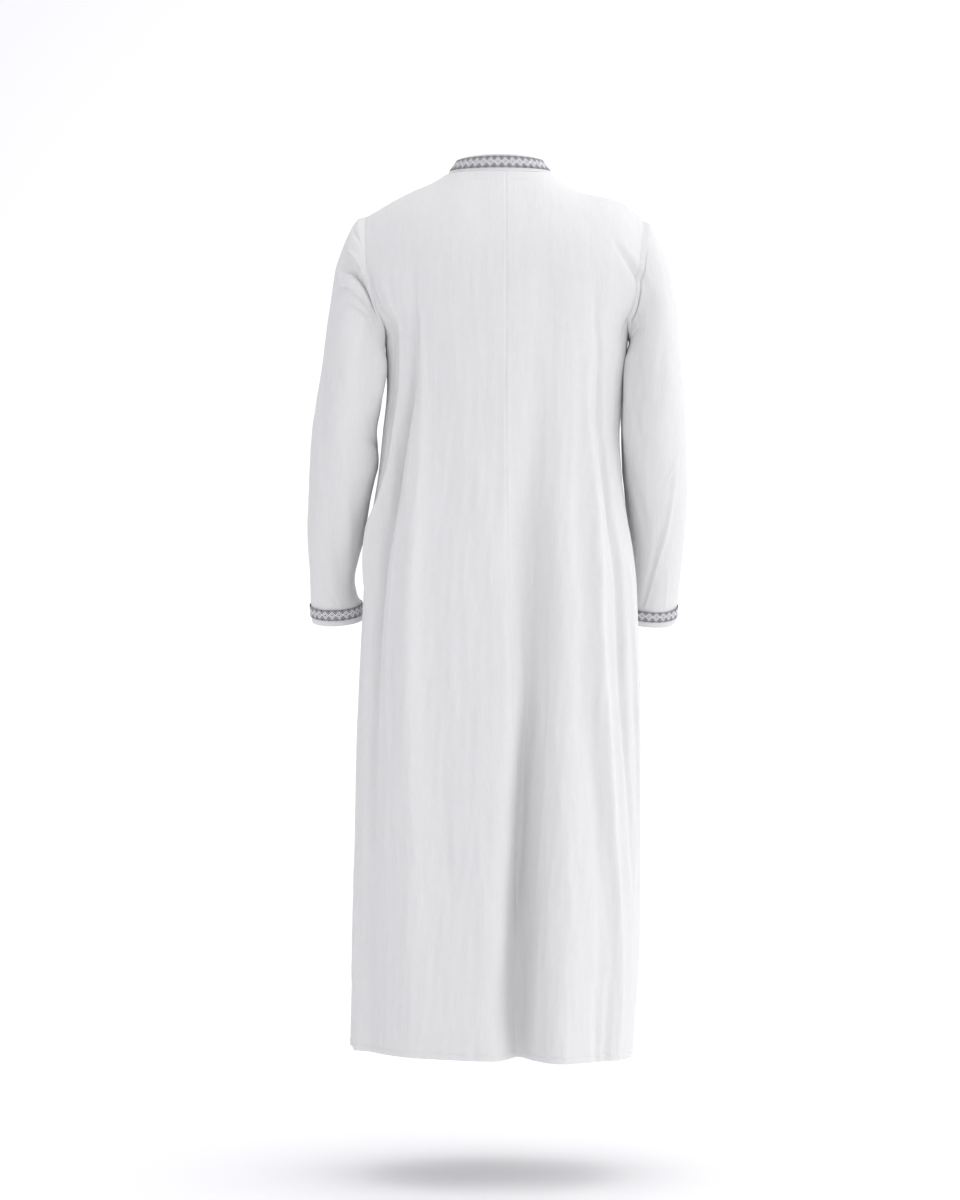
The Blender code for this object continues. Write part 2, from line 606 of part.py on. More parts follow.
def front_at(x, z):
    """The front's outer face at a place near the centre front, and the way it faces."""
    def fall_of(height):
        falls = body_rows()
        heights = body_point(180 + 0 * falls, falls)[:, 2]
        return np.interp(-height, -heights, falls)

    def point(px, pz):
        reach = body_point(179.0, fall_of(pz))[0]
        return body_point(180 - px / reach if px >= 0 else -180 - px / reach, fall_of(pz))

    here = point(x, z)
    across = point(x + 0.004, z) - point(x - 0.004, z)
    down = point(x, z - 0.004) - point(x, z + 0.004)
    facing = np.cross(across, down)
    facing /= np.linalg.norm(facing)
    return here, facing if facing[1] < 0 else -facing


def make_placket(parts, cloth, button):
    top = -NECK_FRONT_DROP - 0.002
    low = SLIT_LOW_Z - PLACKET_BELOW_SLIT
    heights = np.linspace(top, low, 17)
    places = np.linspace(-PLACKET_WIDTH / 2, PLACKET_WIDTH / 2, 5)
    found = [[front_at(x, z) for x in places] for z in heights]
    points = np.array([[p for p, _ in row] for row in found])
    facing = np.array([[n for _, n in row] for row in found])
    inner = points + SEAM_GAP * facing
    placed(wall("placket", inner + PLACKET_CLOTH * facing, inner, cloth), parts)

    lift = SEAM_GAP + PLACKET_CLOTH + SEAM_GAP + BUTTON_THICKNESS / 2
    for number in range(BUTTON_COUNT):
        here, out = front_at(0.0, BUTTON_FIRST_Z - number * BUTTON_SPACING)
        bpy.ops.mesh.primitive_cylinder_add(vertices=16, radius=BUTTON_RADIUS, depth=BUTTON_THICKNESS)
        disc = bpy.context.object
        disc.name = f"button_{number + 1}"
        disc.location = Vector(here + lift * out)
        disc.rotation_mode = "QUATERNION"
        disc.rotation_quaternion = Vector(out).to_track_quat("Z", "Y")
        edge = disc.modifiers.new("rounded rim", "BEVEL")
        edge.width = BUTTON_THICKNESS * 0.3
        edge.segments = 2
        edge.limit_method = "ANGLE"
        disc.data.materials.append(button)
        placed(disc, parts)


def main():
    clear_scene()
    parts = bpy.data.collections.new("kaftan")
    bpy.context.scene.collection.children.link(parts)
    cloth = material("white cloth", WHITE_CLOTH, 0.85)
    tape = material("woven tape", TAPE_GREY, 0.8)
    button = material("button", BUTTON_WHITE, 0.35)
    grids, normals = body_and_sleeves()
    make_body(parts, cloth, grids, normals)
    for side in (1, -1):
        make_sleeve(parts, side, cloth, tape, grids, normals)
    make_collar(parts, cloth, tape)
    make_placket(parts, cloth, button)


main()
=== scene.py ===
from collections import namedtuple

import bpy
import numpy as np
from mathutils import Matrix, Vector

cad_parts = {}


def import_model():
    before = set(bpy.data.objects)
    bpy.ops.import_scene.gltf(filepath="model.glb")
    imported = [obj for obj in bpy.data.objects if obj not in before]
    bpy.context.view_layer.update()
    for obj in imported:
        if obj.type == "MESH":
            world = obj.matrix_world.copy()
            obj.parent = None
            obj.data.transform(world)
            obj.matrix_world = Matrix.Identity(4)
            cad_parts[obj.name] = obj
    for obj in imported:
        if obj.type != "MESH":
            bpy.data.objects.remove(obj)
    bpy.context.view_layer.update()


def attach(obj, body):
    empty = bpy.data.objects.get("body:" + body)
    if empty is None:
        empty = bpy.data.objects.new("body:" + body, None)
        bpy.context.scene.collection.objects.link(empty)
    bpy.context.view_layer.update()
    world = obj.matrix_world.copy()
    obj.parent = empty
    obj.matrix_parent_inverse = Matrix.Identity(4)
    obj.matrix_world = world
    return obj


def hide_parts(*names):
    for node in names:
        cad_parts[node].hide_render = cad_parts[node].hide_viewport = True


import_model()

# The back. Two long panels of slubbed white cotton, seamed down the centre, that hang from the shoulder
# seams in soft lengthwise folds. The seam swings to the right as it falls, beside the one deep fold.
# Their edges dip where they are sewn, and the foot is turned up in a narrow hem.
CLOTH_THICKNESS = 0.0008
CLOTH_WHITE = (0.768, 0.767, 0.766)


def table(kind, *rows):
    return [kind(*row) for row in rows]


Level = namedtuple("Level", "z left right back front")
BODY = table(Level,
    (-0.255, 0.185, 0.206, 0.118, 0.133), (-0.300, 0.182, 0.201, 0.119, 0.134),
    (-0.350, 0.181, 0.193, 0.118, 0.134), (-0.410, 0.187, 0.188, 0.117, 0.135),
    (-0.478, 0.194, 0.194, 0.119, 0.138), (-0.554, 0.206, 0.204, 0.125, 0.142),
    (-0.638, 0.216, 0.217, 0.133, 0.146), (-0.720, 0.221, 0.221, 0.138, 0.149),
    (-0.894, 0.229, 0.225, 0.145, 0.154), (-1.090, 0.233, 0.225, 0.151, 0.160),
    (-1.256, 0.236, 0.222, 0.156, 0.166), (-1.400, 0.240, 0.213, 0.160, 0.171),
)
ROUNDNESS = 2.3
HEM_Z = -1.3975
HEM_TILT = 0.0078
PIT_MID_Z = -0.266

Armhole = namedtuple("Armhole", "tip_x tip_z pit_x pit_z back front bulge")
LEFT_ARMHOLE = Armhole(0.2144, -0.069, 0.1838, -0.272, 0.062, 0.058, 0.010)
RIGHT_ARMHOLE = Armhole(0.2300, -0.076, 0.2055, -0.262, 0.062, 0.058, 0.000)
SHOULDER_ROUND = 0.60

ShoulderPoint = namedtuple("ShoulderPoint", "way left_z right_z")
SHOULDER_LINE = table(ShoulderPoint,
    (0.00, 0.0000, 0.0000), (0.17, -0.0140, -0.0215),
    (0.40, -0.0265, -0.0335), (0.65, -0.0430, -0.0415),
    (0.88, -0.0605, -0.0580), (1.00, -0.0690, -0.0760),
)
NECK_HALF_WIDTH = 0.083
NECK_BACK = 0.062
NECK_FRONT = 0.088
NECK_FRONT_DROP = 0.046
NECK_BACK_DROP = 0.003
SEAM_ANGLE = [(-0.05, -1.4), (-0.68, -2.3), (-1.00, -4.6), (-1.40, -5.2)]

# Plain folds of the sides and the front. Angles are measured round the garment from the centre back, and
# grow towards its left side at 90.
Fold = namedtuple("Fold", "top low angle_top angle_mid angle_low width depth kept")
PLAIN_FOLDS = table(Fold,
    (-0.50, -1.41, 66, 62, 58, 0.020, -0.007, 0.6),
    (-1.05, -1.41, 84, 74, 64, 0.018, 0.009, 1.0),
    (-0.60, -1.41, 22, 24, 26, 0.040, -0.005, 1.0),
    (-0.42, -1.41, -96, -100, -98, 0.026, -0.014, 1.0),
    (-0.50, -1.41, 101, 104, 103, 0.026, -0.013, 1.0),
    (-0.30, -1.41, -128, -131, -134, 0.030, 0.016, 1.0),
    (-0.48, -1.41, -146, -149, -152, 0.026, -0.022, 1.0),
    (-0.30, -1.41, 126, 130, 132, 0.030, 0.014, 1.0),
    (-0.44, -1.41, 143, 150, 153, 0.028, -0.024, 1.0),
    (-0.60, -1.41, 166, 170, 171, 0.030, 0.013, 1.0),
    (-0.70, -1.41, -170, -169, -168, 0.028, -0.014, 1.0),
    (-0.55, -1.41, 12, 9, 7, 0.011, -0.0012, 0.6),
    (-0.75, -1.41, 38, 39, 40, 0.009, -0.0014, 0.7),
    (-0.70, -1.41, 82, 80, 78, 0.008, -0.0030, 0.7),
    (-0.95, -1.41, -44, -46, -48, 0.007, -0.0020, 0.8),
    (-0.64, -1.41, -82, -80, -78, 0.008, -0.0030, 0.7),
    (-0.14, -0.60, 168, 165, 160, 0.012, -0.0016, 0.2),
    (-0.20, -0.85, 152, 155, 158, 0.011, 0.0016, 0.2),
    (-0.16, -0.50, 132, 126, 118, 0.010, -0.0050, 0.0),
    (-0.34, -1.00, 118, 122, 121, 0.009, -0.0028, 0.4),
    (-0.70, -1.41, 160, 161, 162, 0.009, -0.0030, 0.7),
    (-0.80, -1.41, 139, 140, 141, 0.009, 0.0030, 0.7),
    (-0.60, -1.41, 112, 113, 112, 0.009, 0.0032, 0.7),
    (-0.14, -0.55, -170, -167, -164, 0.012, -0.0014, 0.2),
    (-0.16, -0.48, -130, -124, -116, 0.010, -0.0050, 0.0),
    (-0.25, -0.95, -158, -156, -154, 0.011, 0.0015, 0.2),
    (-0.40, -1.05, -116, -120, -122, 0.009, -0.0026, 0.4),
    (-0.66, -1.41, -160, -159, -160, 0.009, 0.0030, 0.7),
    (-0.78, -1.41, -140, -141, -143, 0.009, -0.0030, 0.7),
    (-0.62, -1.41, -110, -111, -112, 0.009, 0.0030, 0.7),
)

# The back's own folds, each drawn as stations down the cloth. rise lifts it, or sinks it where it is
# negative, and left and right are how far the fold reaches to either side of its line.
Station = namedtuple("Station", "z angle rise left right")
DRAWN_FOLDS = {
    "deep fold beside the seam": table(Station,
        (-0.10, -15.0, 0.000, 0.020, 0.010), (-0.21, -20.0, -0.004, 0.024, 0.008),
        (-0.34, -18.0, -0.006, 0.026, 0.009), (-0.46, -14.5, -0.018, 0.024, 0.009),
        (-0.59, -13.8, -0.030, 0.026, 0.008), (-0.71, -12.8, -0.039, 0.022, 0.009),
        (-0.84, -10.3, -0.047, 0.014, 0.014), (-0.96, -7.5, -0.061, 0.012, 0.021),
        (-1.09, -6.0, -0.070, 0.012, 0.025), (-1.21, -5.2, -0.073, 0.013, 0.027),
        (-1.33, -5.2, -0.070, 0.017, 0.025), (-1.41, -6.8, -0.062, 0.018, 0.021),
    ),
    "step between the seam and the deep fold": table(Station,
        (-0.48, -6.0, 0.000, 0.005, 0.012), (-0.60, -5.2, -0.0075, 0.007, 0.024),
        (-0.72, -4.8, -0.0100, 0.007, 0.026), (-0.84, -4.0, -0.0050, 0.006, 0.016),
        (-0.94, -4.0, 0.000, 0.005, 0.012),
    ),
    "broad ridge right of the deep fold": table(Station,
        (-0.46, -21.0, 0.000, 0.010, 0.030), (-0.59, -18.7, 0.011, 0.006, 0.030),
        (-0.72, -18.2, 0.013, 0.007, 0.032), (-0.85, -19.2, 0.011, 0.015, 0.034),
        (-1.05, -20.0, 0.015, 0.022, 0.036), (-1.25, -20.0, 0.018, 0.022, 0.034),
        (-1.41, -20.0, 0.020, 0.021, 0.030),
    ),
    "left trough from the shoulder blade": table(Station,
        (-0.13, 36.0, 0.000, 0.012, 0.008), (-0.19, 39.0, -0.004, 0.011, 0.006),
        (-0.27, 44.0, -0.009, 0.012, 0.007), (-0.34, 47.5, -0.015, 0.011, 0.009),
        (-0.46, 54.0, -0.022, 0.011, 0.013), (-0.59, 59.0, -0.022, 0.012, 0.016),
        (-0.71, 61.0, -0.018, 0.011, 0.014), (-0.84, 61.0, -0.011, 0.010, 0.012),
        (-0.97, 61.0, -0.006, 0.010, 0.012), (-1.12, 60.0, 0.000, 0.010, 0.010),
    ),
    "left corner where the back turns to the side": table(Station,
        (-0.15, 41.0, 0.000, 0.020, 0.006), (-0.21, 40.5, 0.002, 0.022, 0.006),
        (-0.34, 39.5, 0.005, 0.026, 0.008), (-0.46, 38.0, 0.009, 0.029, 0.010),
        (-0.59, 36.0, 0.013, 0.031, 0.011), (-0.71, 35.0, 0.015, 0.033, 0.011),
        (-0.84, 34.0, 0.015, 0.035, 0.011), (-0.96, 33.0, 0.014, 0.037, 0.013),
        (-1.09, 32.0, 0.013, 0.040, 0.016), (-1.25, 30.0, 0.012, 0.044, 0.020),
        (-1.41, 28.0, 0.010, 0.046, 0.024),
    ),
    "left ridge under the arm": table(Station,
        (-0.15, 53.0, 0.000, 0.006, 0.006), (-0.21, 54.5, 0.003, 0.006, 0.005),
        (-0.34, 58.0, 0.005, 0.008, 0.006), (-0.46, 63.5, 0.005, 0.008, 0.007),
        (-0.52, 68.0, 0.009, 0.011, 0.009), (-0.57, 71.0, 0.018, 0.014, 0.011),
        (-0.62, 73.0, 0.014, 0.014, 0.011), (-0.68, 75.0, 0.003, 0.010, 0.009),
        (-0.73, 76.0, 0.000, 0.010, 0.009),
    ),
    "left trough beside the armhole": table(Station,
        (-0.15, 60.0, 0.000, 0.010, 0.005), (-0.21, 62.0, -0.005, 0.010, 0.004),
        (-0.29, 66.0, -0.005, 0.012, 0.006), (-0.36, 70.0, -0.003, 0.010, 0.006),
        (-0.42, 74.0, 0.000, 0.010, 0.006),
    ),
    "thin left ridge": table(Station,
        (-0.66, 50.0, 0.0000, 0.004, 0.004), (-0.74, 50.8, 0.0022, 0.004, 0.005),
        (-0.84, 49.2, 0.0022, 0.004, 0.005), (-0.96, 47.0, 0.0010, 0.004, 0.005),
        (-1.05, 46.0, 0.0000, 0.004, 0.005),
    ),
    "soft trough left of the centre": table(Station,
        (-0.28, 22.0, 0.0000, 0.010, 0.008), (-0.34, 22.0, -0.0015, 0.010, 0.007),
        (-0.46, 20.0, -0.0022, 0.010, 0.008), (-0.59, 21.0, -0.0024, 0.011, 0.010),
        (-0.71, 21.5, -0.0020, 0.012, 0.010), (-0.84, 24.0, -0.0012, 0.012, 0.010),
        (-0.95, 25.0, 0.0000, 0.012, 0.010),
    ),
    "short trough on the seam": table(Station,
        (-0.50, -2.2, 0.0000, 0.004, 0.005), (-0.56, -2.0, -0.0018, 0.004, 0.005),
        (-0.64, -2.4, -0.0018, 0.004, 0.005), (-0.70, -3.0, 0.0000, 0.004, 0.005),
    ),
    "right trough from the shoulder blade": table(Station,
        (-0.15, -38.0, 0.000, 0.006, 0.008), (-0.20, -40.5, -0.002, 0.006, 0.007),
        (-0.27, -46.0, -0.004, 0.007, 0.006), (-0.34, -50.5, -0.007, 0.008, 0.007),
        (-0.46, -56.0, -0.009, 0.008, 0.008), (-0.59, -56.0, -0.011, 0.006, 0.009),
        (-0.71, -57.0, -0.011, 0.006, 0.010), (-0.84, -57.0, -0.009, 0.006, 0.010),
        (-0.96, -61.0, -0.007, 0.006, 0.009), (-1.08, -65.0, -0.003, 0.006, 0.008),
        (-1.18, -68.0, 0.000, 0.006, 0.008),
    ),
    "right ridge that catches the light": table(Station,
        (-0.26, -40.0, 0.000, 0.012, 0.006), (-0.34, -41.5, 0.003, 0.010, 0.006),
        (-0.46, -46.5, 0.006, 0.014, 0.007), (-0.59, -44.5, 0.010, 0.016, 0.007),
        (-0.71, -42.0, 0.011, 0.017, 0.007), (-0.84, -44.0, 0.011, 0.017, 0.007),
        (-0.96, -46.5, 0.009, 0.017, 0.008), (-1.09, -51.0, 0.007, 0.016, 0.008),
        (-1.21, -55.0, 0.005, 0.014, 0.008), (-1.41, -58.0, 0.003, 0.014, 0.010),
    ),
    "soft trough on the right": table(Station,
        (-0.72, -33.0, 0.000, 0.012, 0.010), (-0.84, -34.5, -0.004, 0.014, 0.010),
        (-0.96, -37.0, -0.004, 0.014, 0.012), (-1.09, -41.0, -0.004, 0.014, 0.012),
        (-1.25, -42.0, -0.005, 0.014, 0.012), (-1.41, -42.0, -0.006, 0.014, 0.012),
    ),
    "right edge under the arm": table(Station,
        (-0.28, -84.0, 0.000, 0.010, 0.010), (-0.33, -84.0, 0.002, 0.010, 0.010),
        (-0.38, -84.0, 0.004, 0.010, 0.010), (-0.43, -84.0, 0.003, 0.010, 0.010),
        (-0.50, -84.0, 0.000, 0.010, 0.010),
    ),
    "right edge ridge": table(Station,
        (-0.60, -70.0, 0.000, 0.006, 0.008), (-0.72, -70.0, 0.004, 0.006, 0.008),
        (-0.90, -73.0, 0.005, 0.006, 0.008), (-1.10, -76.0, 0.003, 0.006, 0.008),
        (-1.30, -78.0, 0.000, 0.006, 0.008),
    ),
    "wave at the foot on the right": table(Station,
        (-1.16, -50.0, 0.000, 0.008, 0.006), (-1.30, -50.0, -0.003, 0.009, 0.006),
        (-1.41, -49.0, -0.006, 0.010, 0.007),
    ),
}

# Short slanting creases, each a bowed line between two places, given as angle and height.
Crease = namedtuple("Crease", "start via end width rise")
BODY_CREASES = table(Crease,
    ((-48, -0.120), (-60, -0.168), (-72, -0.206), 0.0052, -0.0070),
    ((-53, -0.125), (-66, -0.160), (-78, -0.205), 0.0045, 0.0020),
    ((-72, -0.202), (-72, -0.230), (-69, -0.264), 0.0048, -0.0055),
    ((56, -0.150), (66, -0.190), (78, -0.250), 0.0050, -0.0022),
    ((-12, -0.160), (-16, -0.230), (-14, -0.300), 0.0050, -0.0012),
    ((14, -0.007), (6, -0.012), (-4, -0.010), 0.0040, -0.0005),
    ((-20, -0.006), (-26, -0.016), (-33, -0.018), 0.0040, -0.0004),
    ((130, -0.110), (118, -0.150), (100, -0.215), 0.0060, -0.0045),
    ((-132, -0.110), (-118, -0.155), (-98, -0.210), 0.0060, -0.0045),
    ((150, -0.090), (140, -0.150), (128, -0.230), 0.0080, -0.0025),
    ((-150, -0.090), (-142, -0.160), (-130, -0.240), 0.0080, -0.0025),
)
GIRTH_PER_DEGREE = 0.0033
EVEN_NARROWING = 0.6
ARMHOLE_PULL = 2.6
ARMHOLE_BLEND = 0.3
RIDGE_FROM, RIDGE_OVER = 0.12, 0.38
FULL_DEPTH_AT = 0.62
FOLDS_START_BY = 0.04
CREASE_STEPS = 26
WIDE_CREASE = 0.014
WIDE_CREASE_STEPS = 90
NECK_CORNER_COLUMNS = 9
NECK_CORNER_REACH = 0.03
NECK_CORNER_PASSES = 60
CROWDED_ABOVE_PIT, CROWDED_BELOW_PIT = 12, 2
Unevenness = namedtuple("Unevenness", "hanging all_over wide long seed")
BODY_UNEVENNESS = table(Unevenness,
    (0.0015, 0.0005, 0.055, 0.42, 5),
    (0.0009, 0.00035, 0.020, 0.20, 9),
    (0.00030, 0.00015, 0.009, 0.10, 12),
)
LOOSE_SEAM = 0.4
FACING_MIDDLE_X = -0.004
FACING_DEPTH = 0.0165
FACING_HALF_WIDTH = 0.058
FACING_PRESS, FACING_PRESS_REACH = 0.0006, 0.0012
TUCK_MIDDLE_X, TUCK_HALF_WIDTH, TUCK_Z = 0.020, 0.017, -0.047
TUCK_LIFT, TUCK_REACH = 0.0008, 0.0017
FINE_ARMHOLE_STEPS = 60
BACK_MESH = {"rows": 200, "neck": 26, "shoulder": 66}
CLOSE_TO_SEAM = np.array([0.10, 0.22, 0.45, 0.70])
CLOSE_TO_HEM = np.array([0, 0.001, 0.0025, 0.0045, 0.0065, 0.008, 0.0087, 0.0093, 0.010, 0.011, 0.013])
SEAM_DIP = 0.0005
SEAM_DIP_REACH = 0.0014
HEM_TURN_UP = 0.009
HEM_LIFT = 0.0005
HEM_EDGE = 0.0004
HEM_GROOVE, HEM_GROOVE_REACH = 0.0006, 0.0011
HEM_STITCH_INSET = 0.0016
THREAD_LIFT = 0.0001
Thread = namedtuple("Thread", "across down detail low high offset tone relief")
COTTON_THREADS = table(Thread,
    (230, 16, 3, 0.30, 0.70, 3, 0.022, 0.00012),
    (110, 55, 2, 0.30, 0.70, 11, 0.016, 0.00020),
    (620, 70, 2, 0.30, 0.70, 17, 0.014, 0.00008),
    (560, 48, 2, 0.60, 0.74, 31, 0.022, 0.00014),
    (75, 700, 2, 0.61, 0.75, 47, 0.030, 0.00012),
)
COTTON_DARKEST = 0.955
COTTON_WEAVE = 0.0011
FRONT_SIDE = 90.0 + 1e-6


def smooth(stations, values, at):
    stations = np.asarray(stations, float)
    values = np.asarray(values, float)
    if stations[0] > stations[-1]:
        stations, values = stations[::-1], values[::-1]
    slopes = np.gradient(values, stations)
    at = np.clip(at, stations[0], stations[-1])
    i = np.clip(np.searchsorted(stations, at) - 1, 0, len(stations) - 2)
    step = stations[i + 1] - stations[i]
    t = (at - stations[i]) / step
    return (
        (2 * t**3 - 3 * t**2 + 1) * values[i]
        + (t**3 - 2 * t**2 + t) * step * slopes[i]
        + (3 * t**2 - 2 * t**3) * values[i + 1]
        + (t**3 - t**2) * step * slopes[i + 1]
    )


def column(rows, name):
    return [getattr(row, name) for row in rows]


def read(rows, at):
    """Every column of a table after its first, read smoothly at places along the first."""
    first, *others = rows[0]._fields
    return {name: smooth(column(rows, first), column(rows, name), at) for name in others}


def bell(distance, reach):
    return np.exp(-((distance / reach) ** 2))


def eased(share):
    return share**2 * (3 - 2 * share)


def before(distance, softness):
    """1 before an edge and 0 past it, where distance grows through 0 at the edge."""
    return 1 / (1 + np.exp(np.clip(distance / softness, -50, 50)))


def round_neck(turn, half_width, back_reach, front_reach):
    """A ring round the neck: its x and y, how far ahead or behind each place is, and which are behind."""
    t = np.radians(turn)
    behind = np.cos(t) >= 0
    ahead = np.abs(np.cos(t))
    y = np.where(behind, back_reach * ahead, -front_reach * ahead)
    return half_width * np.sin(t), y, ahead, behind


def neck_ring(turn):
    x, y, ahead, behind = round_neck(turn, NECK_HALF_WIDTH, NECK_BACK, NECK_FRONT)
    z = np.where(behind, -NECK_BACK_DROP * ahead, -NECK_FRONT_DROP * ahead**1.5)
    return np.stack([x, y, z], axis=-1)


def neck_turn(angle):
    t = np.radians(angle)
    tip_x = np.where(np.sin(t) >= 0, LEFT_ARMHOLE.tip_x, RIGHT_ARMHOLE.tip_x)
    share = np.abs(np.sin(t)) ** (2 / ROUNDNESS) * tip_x / NECK_HALF_WIDTH
    turn = np.degrees(np.arcsin(np.clip(share, 0, 1)))
    return np.where(np.sin(t) >= 0, 1, -1) * np.where(np.abs(angle) <= 90, turn, 180 - turn)


def turned_by(angle, centre):
    return (angle - centre + 180) % 360 - 180


def plain_fold_height(angle, z, round_width):
    total = np.zeros(np.broadcast(angle, z).shape)
    for fold in PLAIN_FOLDS:
        way = np.clip((fold.top - z) / (fold.top - fold.low), 0, 1)
        centre = smooth([0, 0.5, 1], [fold.angle_top, fold.angle_mid, fold.angle_low], way)
        across = np.radians(turned_by(angle, centre)) * round_width
        grown = np.sin(np.pi / 2 * np.clip(way / FULL_DEPTH_AT, 0, 1)) ** 2
        past = np.clip((way - FULL_DEPTH_AT) / (1 - FULL_DEPTH_AT), 0, 1)
        left_over = 1 - (1 - fold.kept) * past**1.5
        total = total + fold.depth * grown * left_over * bell(across, fold.width)
    return total


def drawn_fold_height(angle, z, round_width):
    total = np.zeros(np.broadcast(angle, z).shape)
    for stations in DRAWN_FOLDS.values():
        at = read(stations, z)
        across = np.radians(turned_by(angle, at["angle"])) * round_width
        reach = np.where(across > 0, at["left"], at["right"])
        total = total + np.where(z > stations[0].z, 0, at["rise"]) * bell(across, reach)
    return total


def crease_height(creases, angle, along, per_degree, per_step):
    """Soft bowed creases. per_degree and per_step turn an angle and a step along the cloth into metres."""
    total = np.zeros(np.broadcast(angle, along).shape)
    for crease in creases:
        best = np.zeros_like(total)
        for t in np.linspace(0, 1, CREASE_STEPS if crease.width < WIDE_CREASE else WIDE_CREASE_STEPS):
            mix = ((1 - t) ** 2, 2 * t * (1 - t), t**2)
            spot = [sum(m * p[axis] for m, p in zip(mix, crease[:3])) for axis in (0, 1)]
            off = np.hypot(turned_by(angle, spot[0]) * per_degree, (along - spot[1]) * per_step)
            taper = np.sin(np.pi * (0.06 + 0.88 * t)) ** 0.8
            best = np.maximum(best, taper * bell(off, crease.width))
        total = total + crease.rise * best
    return total


def uneven(places, wide, long, seed):
    """A smooth, uneven rise and fall between about -1 and 1, wide across and long down the cloth."""
    dice = np.random.default_rng(seed)
    x, y, z = np.moveaxis(places, -1, 0)
    total = np.zeros(x.shape)
    for _ in range(10):
        way = dice.uniform(0, np.pi)
        across = 2 * np.pi / (wide * dice.uniform(0.65, 1.6))
        down = 2 * np.pi / long * dice.uniform(-0.9, 0.9)
        start, second, third = dice.uniform(0, 2 * np.pi, 3)
        drift = 0.9 * np.sin(2 * np.pi * z / (long * dice.uniform(1.1, 2.1)) + second)
        swell = 0.65 + 0.35 * np.sin(2 * np.pi * z / (long * dice.uniform(0.8, 1.6)) + third)
        total += swell * np.sin(across * (x * np.cos(way) + y * np.sin(way)) + down * z + drift + start)
    return total / 4


def body_point(angle, fall):
    """The outer face of the body and the angle round it. fall is 0 on the neckline and shoulder seam,
    1 level with the armpits and 2 at the hem."""
    angle, fall = np.broadcast_arrays(np.asarray(angle, float), np.asarray(fall, float))
    t = np.radians(angle)
    left = np.sin(t) >= 0
    back = np.abs(angle) <= 90
    sign = np.where(left, 1.0, -1.0)
    share = np.abs(np.sin(t)) ** (2 / ROUNDNESS)
    ahead = np.abs(np.cos(t)) ** (2 / ROUNDNESS)
    hole = {
        name: np.where(left, getattr(LEFT_ARMHOLE, name), getattr(RIGHT_ARMHOLE, name))
        for name in Armhole._fields
    }

    pit_z = PIT_MID_Z + share**2 * (hole["pit_z"] - PIT_MID_Z)
    hem_z = HEM_Z + HEM_TILT * np.sin(t)
    z = pit_z + (hem_z - pit_z) * np.clip(fall - 1, 0, 1)
    size = read(BODY, z)
    width = np.where(left, size["left"], size["right"])
    depth = np.where(back, size["back"], size["front"])
    x = width * share
    y = depth * ahead

    climb = np.clip(fall, 0, 1)
    top_x = share * hole["tip_x"]
    on_neck = top_x < NECK_HALF_WIDTH
    neck = neck_ring(neck_turn(angle))
    down_seam = np.clip((top_x - NECK_HALF_WIDTH) / (hole["tip_x"] - NECK_HALF_WIDTH), 0, 1)
    top_y = np.where(on_neck, np.abs(neck[..., 1]), 0.0)
    seam = read(SHOULDER_LINE, down_seam)
    top_z = np.where(on_neck, neck[..., 2], np.where(left, seam["left_z"], seam["right_z"]))
    side_x = hole["tip_x"] + (hole["pit_x"] - hole["tip_x"]) * climb
    side_x = side_x + hole["bulge"] * np.sin(np.pi * climb)
    side_y = np.where(back, hole["back"], hole["front"]) * 2 * np.sqrt(climb * (1 - climb))
    stop = np.arccos((side_y / depth) ** (ROUNDNESS / 2))
    upper = fall < 1
    along = np.arcsin(np.clip(np.abs(np.sin(t)), 0, 1))
    along = along - np.where(upper, np.pi / 2 - stop, 0) * (along / (np.pi / 2)) ** ARMHOLE_PULL
    share = np.sin(along) ** (2 / ROUNDNESS)
    ahead = np.cos(along) ** (2 / ROUNDNESS)
    reach = np.clip(climb / SHOULDER_ROUND, 0, 1)
    ridge = np.sqrt(1 - (1 - reach) ** 2)
    slope = np.sin(np.pi / 2 * reach)
    over_seam = np.clip((share - RIDGE_FROM) / RIDGE_OVER, 0, 1)
    over = slope + (ridge - slope) * eased(over_seam)
    narrowing = EVEN_NARROWING * climb + (1 - EVEN_NARROWING) * eased(climb)
    wide = hole["tip_x"] + (width - hole["tip_x"]) * narrowing
    last = np.sin(stop) ** (2 / ROUNDNESS)
    rejoined = np.clip((1 - climb) / ARMHOLE_BLEND, 0, 1)
    to_armhole = (side_x - wide * last) * eased(rejoined)
    x = np.where(upper, wide * share + to_armhole * (share / last) ** 4, x)
    y = np.where(upper, top_y + (depth * ahead - top_y) * over, y)
    z = np.where(upper, top_z + (pit_z - top_z) * climb, z)

    round_angle = np.degrees(np.where(back, along, np.pi - along)) * sign
    round_width = (width + depth) / 2
    push = plain_fold_height(round_angle, z, round_width)
    push = push + drawn_fold_height(round_angle, z, round_width)
    push = push + crease_height(BODY_CREASES, round_angle, z, GIRTH_PER_DEGREE, 1)
    push = push * np.clip(fall / FOLDS_START_BY, 0, 1)
    out_x = share ** (ROUNDNESS - 1) / width
    out_y = ahead ** (ROUNDNESS - 1) / depth
    length = np.hypot(out_x, out_y)
    x = x + push * out_x / length
    y = y + push * out_y / length
    return np.stack([sign * x, np.where(back, y, -y), z], axis=-1), round_angle


